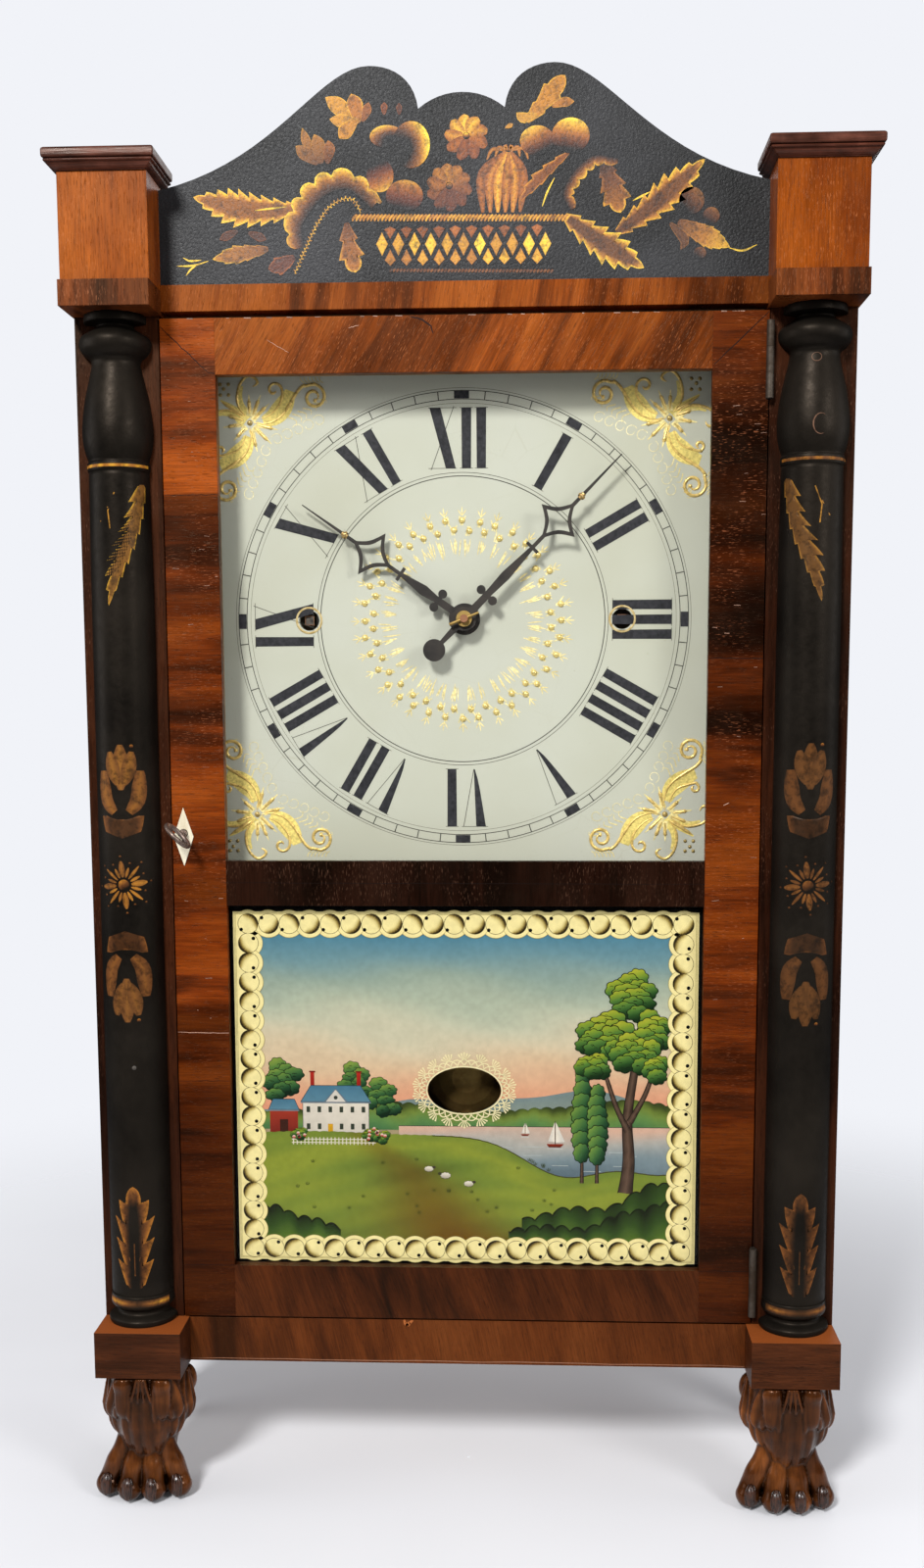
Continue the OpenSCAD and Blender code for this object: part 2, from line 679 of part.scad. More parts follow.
// Escape wheel with raked teeth, carried in front of the front plate
module escape_wheel() color("goldenrod") {
    bar(0, escape_z, face_y + 39.5, back_plate_y0 - 0.6, 1.8);
    bar(0, escape_z, back_plate_y0 - 1, back_plate_y1 - 1, pivot_r);
    pinion(0, escape_z, face_y + 65.5, face_y + 70.5, escape_leaves, third_m, 270 + 180 / escape_leaves, 0);
    slab(face_y + 40, face_y + 43) translate([0, escape_z])
        polygon([for (i = [0:escape_teeth - 1]) each [
            turned([escape_r - 3, 0], 360 / escape_teeth * i),
            turned([escape_r, 0], 360 / escape_teeth * (i + 0.15))]]);
}

// Anchor with its crutch; the fork embraces the pendulum rod
module verge() color("gray") {
    difference() {
        union() {
            bar(0, hang_z, face_y + 37.4, face_y + 44, 4);
            slab(face_y + 40, face_y + 43) both_sides_flat() translate([0, hang_z])
                polygon([[0, 3], [8, 2], [21, -9.5], [22, -13], [19.5, -12.6], [9, -3.4], [0, -2]]);
        }
        bar(0, hang_z, face_y + 37, face_y + 45, 1.5 + run_gap);
    }
    block(-1, 1, face_y + 37.4, face_y + 39, hang_z - 40, hang_z - 3.5);
    block(-3, 3, face_y + 37.4, face_y + 39, hang_z - 42, hang_z - 39);
    both_sides() block(1.4, 3, face_y + 34.4, face_y + 39, hang_z - 42, hang_z - 39);
}

module both_sides_flat() {
    children();
    mirror([1, 0]) children();
}

// Pendulum rod with an eye, and a ring that clears the hand arbor
pend_y = face_y + 35.4;
bob_z = hang_z - pendulum_l;
ring_r = 17;

module pendulum_rod() color("silver") {
    difference() {
        union() {
            bar(0, hang_z, pend_y - 0.9, pend_y + 0.9, 3.2);
            translate([0, pend_y, dial_z + ring_r]) cylinder(r = 1, h = hang_z - 2 - dial_z - ring_r, $fn = 24);
        }
        bar(0, hang_z, pend_y - 2, pend_y + 2, 1.5 + run_gap);
    }
    translate([0, pend_y, dial_z]) rotate([90, 0, 0]) rotate_extrude()
        translate([ring_r, 0]) circle(r = 1, $fn = 16);
    translate([0, pend_y, bob_z - bob_r - 8]) cylinder(r = 1, h = dial_z - ring_r - bob_z + bob_r + 8, $fn = 24);
    translate([0, pend_y, bob_z - bob_r - 4]) cylinder(r = 4, h = 3.8);
}

// Lens-shaped bob
module pendulum_bob() color("gold") difference() {
    translate([0, pend_y, bob_z]) rotate([90, 0, 0]) rotate_extrude()
        polygon([[0, -6], [9, -5.4], [17, -3.6], [bob_r - 1.5, -1.2], [bob_r, 0], [bob_r - 1.5, 1.2],
                 [17, 3.6], [9, 5.4], [0, 6]]);
    translate([0, pend_y, bob_z - bob_r - 1]) cylinder(r = 1 + run_gap, h = 2 * bob_r + 2, $fn = 24);
}

module strike_pin_wheel() color("peru") {
    arbor(pin_x, pin_z, arbor_r);
    pinion(pin_x, pin_z, great_y0 - 0.5, great_y1 + 0.5, great_leaves, strike_m,
           pin_dir + 180 + 180 / great_leaves, 0);
    wheel(pin_x, pin_z, face_y + 66, face_y + 70, pin_teeth, pin_m, fly_dir, 0);
    for (k = [0:3])
        bar(pin_x + 22 * cos(90 * k + 20), pin_z + 22 * sin(90 * k + 20), face_y + 69, face_y + 75, 1.4);
}

module strike_fly() color("burlywood") {
    arbor(fly_x, fly_z, 1.8);
    pinion(fly_x, fly_z, face_y + 65.5, face_y + 70.5, fly_leaves, pin_m, fly_dir + 180 + 180 / fly_leaves, 0);
    block(fly_x - 16, fly_x + 16, face_y + 76, face_y + 87, fly_z - 0.7, fly_z + 0.7);
}

// Cast bell on a post from the backboard
bell_profile = [
    [0, 27], [8, 26.6], [18, 24.4], [27, 19], [32.5, 12], [35, 6], [bell_r, 0],
    [bell_r - 2.6, 0], [32.4, 6], [29.8, 11], [24.8, 17], [16.6, 21.8], [7.6, 24], [0, 24.2]
];

module bell() color("goldenrod") {
    translate([bell_x, face_y + 93, bell_z]) rotate([90, 0, 0]) rotate_extrude() polygon(bell_profile);
    bar(bell_x, bell_z, face_y + 63, inner_back_y, 3);
    bar(bell_x, bell_z, face_y + 63.5, face_y + 66.2, 5);
}

module hammer() color("gray") {
    arbor(hammer_x, hammer_z, 1.8);
    translate([hammer_x, cord_y, hammer_z - hammer_l]) cylinder(r = 1.3, h = hammer_l);
    bar(hammer_x, hammer_z - hammer_l, face_y + 80, face_y + 94, 6.5);
    translate([hammer_x, face_y + 72.6, hammer_z]) rotate([0, -56, 0]) cylinder(r = 1.2, h = 36);
}

// Cast weights with a wire hook
module weight(x) {
    translate([x, cord_y, weight_z0]) cylinder(r = weight_r, h = weight_l);
    translate([x, cord_y, weight_z0 + weight_l]) cylinder(r = 2, h = hook_l);
}

module weight_left() color("dimgray") weight(-weight_x);
module weight_right() color("dimgray") weight(weight_x);

module fall_cord(x)
    translate([x, cord_y, weight_z0 + weight_l + hook_l])
        cylinder(r = cord_r, h = pulley_z - weight_z0 - weight_l - hook_l, $fn = 24);

module fall_cord_left() color("wheat") fall_cord(-weight_x);
module fall_cord_right() color("wheat") fall_cord(weight_x);

// Cord from each drum up and over its pulley
lead_dx = pulley_x - wind_x;
lead_dz = pulley_z - dial_z;
lead_d = norm([lead_dx, lead_dz]);
lead_dir = atan2(lead_dz, lead_dx);
lead_tilt = asin((drum_wrap - pulley_pitch) / lead_d);
lead_off = lead_dir + 90 - lead_tilt;

// Each ring of the cord: place of its middle, and the direction square to the cord
lead_turns = 12;
lead_rings = concat(
    [[[wind_x + drum_wrap * cos(lead_off), dial_z + drum_wrap * sin(lead_off)], lead_off]],
    [for (i = [0:lead_turns])
        let (a = lead_off * (1 - i / lead_turns))
        [[pulley_x + pulley_pitch * cos(a), pulley_z + pulley_pitch * sin(a)], a]]
);
lead_sides = 8;

module lead_cords() color("wheat") both_sides()
    polyhedron(
        points = [for (ring = lead_rings) each [for (k = [0:lead_sides - 1])
            let (out = cord_r * cos(360 / lead_sides * k), along = cord_r * sin(360 / lead_sides * k))
            [ring[0][0] + out * cos(ring[1]), cord_y + along, ring[0][1] + out * sin(ring[1])]]],
        faces = concat(
            [[for (k = [0:lead_sides - 1]) k]],
            [for (i = [0:len(lead_rings) - 2]) each [for (k = [0:lead_sides - 1])
                let (a = i * lead_sides, b = a + lead_sides, n = (k + 1) % lead_sides)
                [a + k, b + k, b + n, a + n]]],
            [[for (k = [lead_sides - 1:-1:0]) (len(lead_rings) - 1) * lead_sides + k]]
        )
    );

// Grooved pulley with its axle
module pulley(x) {
    translate([x, cord_y, pulley_z]) rotate([90, 0, 0]) rotate_extrude()
        polygon([[0, -4], [pulley_r, -4], [pulley_r, -2.4], [pulley_pitch - 1.15, -1.4],
                 [pulley_pitch - 1.15, 1.4], [pulley_r, 2.4], [pulley_r, 4], [0, 4]]);
    bar(x, pulley_z, cord_y - 8, cord_y + 8, 2);
}

module pulley_left() color("burlywood") pulley(-pulley_x);
module pulley_right() color("burlywood") pulley(pulley_x);

case_sides();
top_board();
bottom_board();
backboard();
case_stiles();
top_rail();
bottom_rail();
lower_blocks();
upper_blocks();
block_bands();
block_caps();
columns();
splat();
front_feet();
rear_feet();
movement_posts();
door_stile_left();
door_stile_right();
door_top_rail();
door_mid_rail();
door_bottom_rail();
dial_window_glass();
tablet_glass();
glazing_strips();
escutcheon();
lock_case();
lock_bolt();
key();
hinge_door_leaves();
hinge_case_leaves();
dial();
minute_pipe();
minute_hand();
hour_hand();
hand_washer();
front_plate();
back_plate();
time_drum();
time_great_wheel();
centre_wheel();
third_wheel();
escape_wheel();
verge();
pendulum_rod();
pendulum_bob();
motion_wheel();
hour_wheel();
strike_drum();
strike_great_wheel();
strike_pin_wheel();
strike_fly();
bell();
hammer();
weight_left();
weight_right();
fall_cord_left();
fall_cord_right();
lead_cords();
pulley_left();
pulley_right();
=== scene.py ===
"""Looks of the column and splat shelf clock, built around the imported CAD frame.

Helper lengths are in millimetres, in the CAD frame: X right, Y back, Z up, floor at Z 0.
"""
import math

import bpy
import numpy as np
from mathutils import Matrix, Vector


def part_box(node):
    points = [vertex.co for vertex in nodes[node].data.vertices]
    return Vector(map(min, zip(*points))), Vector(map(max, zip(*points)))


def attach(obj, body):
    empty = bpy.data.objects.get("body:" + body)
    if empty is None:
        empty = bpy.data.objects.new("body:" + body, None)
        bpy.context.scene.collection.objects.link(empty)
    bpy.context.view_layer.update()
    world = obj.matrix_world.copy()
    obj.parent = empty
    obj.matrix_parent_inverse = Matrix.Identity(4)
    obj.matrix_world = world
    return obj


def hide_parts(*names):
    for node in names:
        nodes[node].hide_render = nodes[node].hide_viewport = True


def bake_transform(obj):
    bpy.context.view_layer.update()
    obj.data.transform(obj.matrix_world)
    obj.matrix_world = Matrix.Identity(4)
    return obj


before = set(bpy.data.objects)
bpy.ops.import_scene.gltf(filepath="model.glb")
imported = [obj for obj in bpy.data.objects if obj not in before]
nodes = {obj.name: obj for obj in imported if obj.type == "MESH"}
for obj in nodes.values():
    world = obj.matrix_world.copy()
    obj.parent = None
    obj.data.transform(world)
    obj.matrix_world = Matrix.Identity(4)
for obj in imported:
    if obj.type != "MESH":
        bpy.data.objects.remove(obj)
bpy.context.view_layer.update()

MM = 0.001
PI = math.pi


def whole_turn(count):
    """Evenly spaced angles round a full circle."""
    return np.linspace(0, 2 * PI, count, endpoint=False)


def heading(angle):
    """Unit vectors in a drawing's plane at angles in radians."""
    return np.stack([np.cos(angle), np.sin(angle)], -1)


def bulging(ends, more):
    """A width that grows from its ends to the middle."""
    return lambda t: ends + more * math.sin(PI * t)


def into_scene(name, data):
    thing = bpy.data.objects.new(name, data)
    bpy.context.scene.collection.objects.link(thing)
    return thing


def new_mesh(name, points, faces, material, smooth=True):
    """A mesh from points in millimetres."""
    mesh = bpy.data.meshes.new(name)
    mesh.from_pydata(points * MM, [], faces)
    mesh.materials.append(material)
    if smooth:
        mesh.polygons.foreach_set("use_smooth", [True] * len(mesh.polygons))
    return mesh


def reach(node):
    """Lowest and highest corner of a CAD node, in millimetres."""
    low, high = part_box(node)
    return np.array(low) / MM, np.array(high) / MM


SPLAT_FRONT = reach("splat")[0][1]
DIAL_FRONT = reach("dial")[0][1]
DOOR_FRONT = reach("door_stile_left")[0][1]
TABLET_BACK = reach("tablet_glass")[1][1]
COLUMN_LOW, COLUMN_HIGH = reach("columns")
WASHER_LOW, WASHER_HIGH = reach("hand_washer")
DIAL_Z = WASHER_LOW[2] + (WASHER_HIGH[2] - WASHER_LOW[2]) / 2
WIND_X = 92.5


# Camera and light

CAMERA_PLACE = (0.0398, -0.9501, 0.4861)
CAMERA_TURN = (90 - 6.94, 0.21, 2.55)
LENS = 36
UPWARD_SHIFT = 0.0625


def make_camera():
    data = bpy.data.cameras.new("camera")
    data.sensor_width = 36
    data.lens = LENS
    data.shift_y = UPWARD_SHIFT
    data.clip_start = 0.05
    camera = into_scene("camera", data)
    camera.location = CAMERA_PLACE
    camera.rotation_euler = [math.radians(angle) for angle in CAMERA_TURN]
    bpy.context.scene.camera = camera


def make_lamp(name, place, target, size, power):
    data = bpy.data.lights.new(name, "AREA")
    data.shape = "DISK"
    data.size = size
    data.energy = power
    lamp = into_scene(name, data)
    lamp.location = place
    lamp.rotation_euler = (Vector(target) - Vector(place)).to_track_quat("-Z", "Y").to_euler()


# Node materials

class Look:
    """A procedural material, built from short calls on one Principled shader."""

    def __init__(self, name, **constants):
        self.material = bpy.data.materials.new(name)
        self.material.use_nodes = True
        self.tree = self.material.node_tree
        self.shader = self.tree.nodes["Principled BSDF"]
        self.fill(self.shader, constants)
        self.place = self.add("ShaderNodeTexCoord").outputs["Object"]
        self.normal = None

    def fill(self, node, inputs):
        for key, value in inputs.items():
            socket = node.inputs[key] if isinstance(key, int) else node.inputs[key.replace("_", " ")]
            if isinstance(value, bpy.types.NodeSocket):
                self.tree.links.new(value, socket)
            else:
                socket.default_value = value

    def add(self, kind, inputs=None, **settings):
        node = self.tree.nodes.new(kind)
        for key, value in settings.items():
            setattr(node, key, value)
        self.fill(node, inputs or {})
        return node

    def scaled(self, scale, shift=(0, 0, 0)):
        return self.add("ShaderNodeMapping", {
            "Vector": self.place, "Scale": scale, "Location": shift}).outputs[0]

    def noise(self, scale=1, detail=3.0, rough=0.5, warp=0.0, shift=(0, 0, 0), vector=None):
        if vector is None:
            vector = self.scaled(scale if isinstance(scale, tuple) else (scale,) * 3, shift)
        return self.add("ShaderNodeTexNoise", {
            "Vector": vector, "Scale": 1.0, "Detail": detail, "Roughness": rough,
            "Distortion": warp}).outputs["Fac"]

    def math(self, kind, a, b):
        return self.add("ShaderNodeMath", {0: a, 1: b}, operation=kind).outputs[0]

    def times(self, a, b):
        return self.math("MULTIPLY", a, b)

    def span(self, value, a, b, c=0.0, d=1.0):
        return self.add("ShaderNodeMapRange", {
            "Value": value, "From_Min": a, "From_Max": b, "To_Min": c, "To_Max": d},
            interpolation_type="SMOOTHSTEP").outputs[0]

    def ramp(self, value, stops):
        node = self.add("ShaderNodeValToRGB", {"Fac": value})
        points = node.color_ramp.elements
        while len(points) > 1:
            points.remove(points[-1])
        for i, (at, colour) in enumerate(stops):
            point = points[0] if i == 0 else points.new(at)
            point.position = at
            point.color = (*colour, 1) if len(colour) == 3 else colour
        return node.outputs["Color"]

    def mix(self, share, a, b, kind="MIX"):
        node = self.add("ShaderNodeMix", {0: share}, data_type="RGBA", blend_type=kind)
        for key, value in ((6, a), (7, b)):
            if isinstance(value, bpy.types.NodeSocket):
                self.tree.links.new(value, node.inputs[key])
            else:
                node.inputs[key].default_value = (*value, 1)
        return node.outputs[2]

    def tone(self, colour, value):
        """The colour times a grey value."""
        grey = self.add("ShaderNodeCombineColor", {0: value, 1: value, 2: value}).outputs[0]
        return self.mix(1.0, colour, grey, "MULTIPLY")

    def mesh_paint(self):
        """The colour stored on the mesh."""
        return self.add("ShaderNodeAttribute", attribute_name="paint").outputs["Color"]

    def surface(self, share, first, second):
        """Replaces the plain surface by a mixture of two shaders."""
        both = self.add("ShaderNodeMixShader", {0: share, 1: first, 2: second}).outputs[0]
        self.tree.links.new(both, self.tree.nodes["Material Output"].inputs["Surface"])

    def split(self, axis):
        return self.add("ShaderNodeSeparateXYZ", {0: self.place}).outputs[axis]

    def bump(self, height, depth, strength=1.0):
        inputs = {"Height": height, "Distance": depth, "Strength": strength}
        if self.normal is not None:
            inputs["Normal"] = self.normal
        self.normal = self.add("ShaderNodeBump", inputs).outputs[0]
        self.fill(self.shader, {"Normal": self.normal})

    def soft_edges(self, radius):
        self.normal = self.add("ShaderNodeBevel", {"Radius": radius}, samples=4).outputs[0]
        self.fill(self.shader, {"Normal": self.normal})

    def colour(self, socket):
        self.fill(self.shader, {"Base_Color": socket})

    def roughness(self, socket):
        self.fill(self.shader, {"Roughness": socket})


def along(axis, near, far):
    """Noise scale with long waves along the grain axis: near is across the grain."""
    return tuple(far if i == "xyz".index(axis) else near for i in range(3))


def veneer(name, across, dark, mid, light, tones=(), wide=40.0, tilt=0.0, shift=0.0, gloss=0.3,
           contrast=1.0, top=None):
    """Polished mahogany laid across a board: its figure changes along the axis named by across,
    its fibres run over the board. tones are (place in mm, factor) pairs along the board.
    top, where given, is a lighter colour painted on the faces that look up: painted light from above."""
    look = Look(name, Specular_IOR_Level=0.13, Specular_Tint=(1, 0.66, 0.42, 1))
    look.soft_edges(0.0005)
    side = "x" if across == "z" else "z"
    move = (shift, shift * 0.7, shift * 1.3)

    def turned(along_board, over_board, depth, extra=0.0):
        scale = {across: 1 / along_board, side: 1 / over_board, "y": 1 / depth}
        return look.add("ShaderNodeMapping", {
            "Vector": look.place, "Scale": tuple(scale[axis] for axis in "xyz"),
            "Location": tuple(v + extra for v in move), "Rotation": (0, tilt, 0)},
            vector_type="TEXTURE").outputs[0]

    broad = look.noise(detail=2.0, rough=0.5, warp=0.4, vector=turned(wide, 6, 20))
    fine = look.noise(detail=3.0, rough=0.6, warp=0.5, vector=turned(wide * 5, 14, 40, 5.0))
    level = look.math("ADD", look.times(broad, 0.62), look.times(fine, 0.38))
    reach_out = 0.16 / contrast
    body = look.ramp(look.span(level, 0.5 - reach_out, 0.5 + reach_out),
                     [(0.08, dark), (0.45, mid), (0.95, light)])
    fibre = look.noise(detail=3.0, rough=0.7, vector=turned(1100, 45, 300, 2.0))
    body = look.tone(body, look.span(fibre, 0.25, 0.75, 0.72, 1.26))
    if tones:
        low, high = tones[0][0], tones[-1][0]
        sway = look.times(look.math("SUBTRACT", look.noise(9, 2.0), 0.5), 0.014)
        place = look.math("ADD", look.split("xyz".index(across)), sway)
        stretch = look.add("ShaderNodeMapRange", {
            "Value": place, "From_Min": low * MM, "From_Max": high * MM}).outputs[0]
        tint = look.ramp(stretch, [((at - low) / (high - low), (v, v, v)) for at, v in tones])
        body = look.mix(1.0, body, tint, "MULTIPLY")
    # Pale flecks of pores catching the light: painted highlight, with more of it higher up the board.
    pore_glint = look.span(look.noise(detail=1.0, vector=turned(2200, 300, 800, 7.0)), 0.62, 0.70)
    patch = look.span(look.noise(35, 2.0), 0.38, 0.6)
    glint_higher_up = look.span(look.split(2), 0.2, 0.42, 0.08, 0.5)
    body = look.mix(look.times(look.times(pore_glint, patch), glint_higher_up), body,
                    (0.10 + light[0], 0.05 + light[1], 0.03 + light[2]))
    dash = look.span(look.noise(detail=1.0, vector=turned(1900, 160, 800, 3.0)), 0.6, 0.72)
    body = look.mix(look.times(dash, 0.5), body, tuple(v * 0.4 for v in dark))
    # Faces that look up get the lighter top colour: painted light from above.
    if top is not None:
        normal = look.add("ShaderNodeNewGeometry").outputs["Normal"]
        upward = look.add("ShaderNodeSeparateXYZ", {0: normal}).outputs[2]
        body = look.mix(look.span(upward, 0.5, 0.9), body, top)
    look.colour(body)
    wear = look.noise(45, 4.0, 0.6)
    look.roughness(look.span(wear, 0.2, 0.8, gloss - 0.05, gloss + 0.15))
    look.bump(look.math("SUBTRACT", look.times(fibre, 0.4), dash), 0.00005)
    look.bump(look.noise(26, 2.0, 0.5), 0.0003, 0.4)
    return look.material


def plain_wood(name, grain, dark, mid, light, gloss=0.6, shift=(0, 0, 0)):
    """Unpolished softwood or hardwood with growth rings, fibres and dirt."""
    look = Look(name)
    look.soft_edges(0.0005)
    ring = look.noise(along(grain, 55, 4), 3.0, 0.6, 0.8, shift)
    fibre = look.noise(along(grain, 700, 18), 3.0, 0.7, shift=shift)
    body = look.ramp(ring, [(0.3, dark), (0.5, mid), (0.7, light)])
    body = look.tone(body, look.span(fibre, 0.25, 0.75, 0.75, 1.2))
    dirt = look.noise(9, 4.0, 0.6)
    look.colour(look.tone(body, look.span(dirt, 0.3, 0.7, 0.7, 1.1)))
    look.roughness(look.span(fibre, 0.2, 0.8, gloss, gloss + 0.2))
    look.bump(fibre, 0.0001)
    return look.material


def metal(name, base, worn, gloss=0.3, metallic=0.9, scale=60.0):
    """Metal with tarnish, fine scratches and a slightly uneven face."""
    look = Look(name, Metallic=metallic)
    look.soft_edges(0.0003)
    tarnish = look.noise(scale, 4.0, 0.65)
    look.colour(look.ramp(tarnish, [(0.35, worn), (0.62, base)]))
    scratch = look.noise((1800, 300, 1800), 2.0, 0.6)
    look.roughness(look.math("ADD", look.span(tarnish, 0.3, 0.7, gloss + 0.25, gloss),
                             look.times(scratch, 0.1)))
    look.bump(scratch, 0.00002)
    return look.material


def painted(name, gloss, speck, speck_scale, relief=0.0):
    """Paint whose colour comes from the mesh, with brush and dust variation on top."""
    look = Look(name, Specular_IOR_Level=0.12)
    paint = look.mesh_paint()
    grain = look.noise(speck_scale, 3.0, 0.6)
    cloud = look.noise(60, 3.0, 0.6)
    body = look.tone(paint, look.span(grain, 0.25, 0.75, 1 - speck, 1 + speck))
    body = look.tone(body, look.span(cloud, 0.25, 0.75, 1 - speck / 2, 1 + speck / 2))
    look.colour(body)
    look.roughness(look.span(grain, 0.2, 0.8, gloss, gloss + 0.15))
    if relief:
        look.bump(grain, relief)
    return look.material


# Mesh building

class Batch:
    """Collects points and faces in millimetres, with a paint colour for each point."""

    def __init__(self):
        self.points, self.faces, self.paint, self.count, self.layer = [], [], [], 0, 0

    def rise(self):
        """Height of the next flat spot, so that overlapping paint never lies in one plane."""
        self.layer = (self.layer + 1) % 40
        return 0.03 + 0.004 * self.layer

    def add(self, points, faces, paint=(0, 0, 0)):
        points = np.asarray(points, float).reshape(-1, 3)
        colour = np.asarray(paint, float)
        if colour.ndim == 1:
            colour = np.tile(colour, (len(points), 1))
        self.points.append(points)
        self.paint.append(colour.reshape(-1, 3))
        self.faces += [tuple(i + self.count for i in face) for face in faces]
        self.count += len(points)

    def grid(self, rows, paint=(0, 0, 0), closed=False, flip=False):
        """A surface through rows of points; closed joins each row's end to its start."""
        rows = np.asarray(rows, float)
        n, m = rows.shape[:2]
        faces = []
        for i in range(n - 1):
            for j in range(m if closed else m - 1):
                k = (j + 1) % m
                quad = (i * m + j, i * m + k, (i + 1) * m + k, (i + 1) * m + j)
                faces.append(quad[::-1] if flip else quad)
        colour = np.asarray(paint, float)
        if colour.ndim == 3:
            colour = colour.reshape(-1, 3)
        self.add(rows.reshape(-1, 3), faces, colour)

    def piece(self, name, material, body, slot, smooth=True, replaces=()):
        mesh = new_mesh(name, np.concatenate(self.points), self.faces, material, smooth)
        layer = mesh.attributes.new("paint", "FLOAT_COLOR", "POINT")
        colour = np.concatenate(self.paint)
        layer.data.foreach_set("color", np.column_stack([colour, np.ones(len(colour))]).ravel())
        mesh.validate()
        mesh.update()
        thing = into_scene(name, mesh)
        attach(thing, body)
        if replaces:
            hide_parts(*replaces)
        return thing


def directions(path):
    """Unit tangents of a path."""
    step = np.gradient(path, axis=0)
    return step / np.maximum(np.linalg.norm(step, axis=1, keepdims=True), 1e-9)


def face_on(y):
    """Places a flat drawing on an XZ plane: u right, v up, h towards the viewer."""
    return lambda u, v, h=0.0: np.stack([u, y - h + 0 * u, v], -1)


def ribbon(batch, place, path, width, paint, height=0.0, across=1):
    """A flat stroke of varying width. width and paint are values or functions of 0..1."""
    path = np.asarray(path, float)
    t = np.linspace(0, 1, len(path))
    run = directions(path)
    side = np.stack([-run[:, 1], run[:, 0]], -1)
    half = np.array([width(v) for v in t]) if callable(width) else np.full(len(t), width)
    c = np.linspace(1, -1, across + 1)
    flat = path[:, None] + side[:, None] * (half[:, None] * c)[..., None] / 2
    if callable(paint):
        colour = np.array([[paint(v, w) for w in c] for v in t])
    else:
        colour = np.tile(paint, (len(t), len(c), 1))
    batch.grid(place(flat[..., 0], flat[..., 1], height), colour)


def tube(batch, path, radius, paint=(0, 0, 0), sides=10, flat=1.0, up=(0, -1, 0)):
    """A round or flattened tube along a 3D path; its ends are drawn to a point if radius does so."""
    path = np.asarray(path, float)
    run = directions(path)
    up = np.asarray(up, float)
    side = np.cross(run, up)
    side /= np.maximum(np.linalg.norm(side, axis=1, keepdims=True), 1e-9)
    top = np.cross(side, run)
    t = np.linspace(0, 1, len(path))
    size = np.array([radius(v) for v in t]) if callable(radius) else np.full(len(t), radius)
    a = whole_turn(sides)
    ring = side[:, None] * np.cos(a)[None, :, None] + top[:, None] * np.sin(a)[None, :, None] * flat
    rows = path[:, None] + ring * size[:, None, None]
    batch.grid(rows, paint, closed=True, flip=True)


def lathe(batch, profile, centre, steps, start, stop):
    """Part of a turned shape about a vertical axis, from radius and height pairs."""
    a = np.linspace(start, stop, steps)
    batch.grid(np.stack([centre[0] + profile[:, :1] * np.cos(a), centre[1] + profile[:, :1] * np.sin(a),
                         centre[2] + profile[:, 1:] + 0 * a], -1))


def dome(batch, place, u, v, radius, height, paint, rings=4, sides=14):
    """A low round button on a drawing."""
    rows = []
    a = whole_turn(sides)
    for k in range(rings + 1):
        q = k / rings * PI / 2
        r = radius * math.cos(q)
        rows.append(place(u + r * np.cos(a), v + r * np.sin(a), height * math.sin(q) + 0 * a))
    batch.grid(rows, paint, closed=True)


def disc(batch, place, u, v, radius, paint, height):
    """A flat painted disc on a drawing."""
    a = whole_turn(28)
    batch.grid([place(u + radius * k * np.cos(a), v + radius * k * np.sin(a), height)
                for k in np.linspace(1, 0.001, 4)], paint, closed=True)


def dress(material, *names):
    """Gives carried-over CAD nodes a better material."""
    for name in names:
        for slot in nodes[name].material_slots:
            slot.material = material


# Studio

def make_world():
    world = bpy.data.worlds.new("studio")
    world.use_nodes = True
    bpy.context.scene.world = world
    tree = world.node_tree
    background = tree.nodes["Background"]
    path = tree.nodes.new("ShaderNodeLightPath")

    def link_math(kind, a, b):
        node = tree.nodes.new("ShaderNodeMath")
        node.operation = kind
        for socket, value in zip(node.inputs, (a, b)):
            if isinstance(value, bpy.types.NodeSocket):
                tree.links.new(value, socket)
            else:
                socket.default_value = value
        return node.outputs[0]

    seen = link_math("MAXIMUM", path.outputs["Is Camera Ray"], path.outputs["Is Transmission Ray"])
    fill = link_math("SUBTRACT", WORLD_FILL, link_math(
        "MULTIPLY", path.outputs["Is Glossy Ray"], WORLD_FILL - WORLD_GLOSS))
    strength = link_math("MAXIMUM", seen, fill)
    background.inputs["Color"].default_value = (0.88, 0.895, 0.94, 1)
    tree.links.new(strength, background.inputs["Strength"])


def make_floor():
    look = Look("pale_floor", Roughness=0.6, Specular_IOR_Level=0.2)
    haze = look.noise(5, 2.0)
    look.colour(look.ramp(haze, [(0.3, (0.65, 0.65, 0.67)), (0.7, (0.68, 0.68, 0.70))]))
    away = look.add("ShaderNodeVectorMath", {0: look.place}, operation="LENGTH").outputs["Value"]
    fade = look.span(away, FLOOR_FADE[0], FLOOR_FADE[1])
    clear = look.add("ShaderNodeBsdfTransparent").outputs[0]
    look.surface(fade, look.shader.outputs[0], clear)
    a = whole_turn(64)
    rows = [np.stack([r * np.cos(a), r * np.sin(a), 0 * a], -1) for r in (1600, 900, 300, 1)]
    faces = [(i * 64 + j, i * 64 + (j + 1) % 64, (i + 1) * 64 + (j + 1) % 64, (i + 1) * 64 + j)
             for i in range(3) for j in range(64)]
    into_scene("floor", new_mesh("floor", np.concatenate(rows), faces, look.material, False))


WORLD_FILL = 0.55
WORLD_GLOSS = 0.05
FLOOR_FADE = (0.30, 0.98)

bpy.context.scene.view_settings.view_transform = "Standard"
make_camera()
make_world()
make_floor()
make_lamp("key_lamp", (-0.84, -2.38, 2.15), (0, -0.03, 0.45), 0.6, 104)
make_lamp("right_lamp", (1.3, -1.3, 1.1), (0, -0.03, 0.4), 0.6, 15)
make_lamp("left_box", (-1.5, -0.25, 0.7), (0, 0, 0.4), 0.9, 5)
make_lamp("right_box", (1.5, -0.1, 0.7), (0, 0, 0.4), 0.9, 3)
make_lamp("back_lamp", (0.3, 1.4, 1.2), (0, 0, 0.4), 0.9, 3)


# Materials of the carried-over CAD nodes

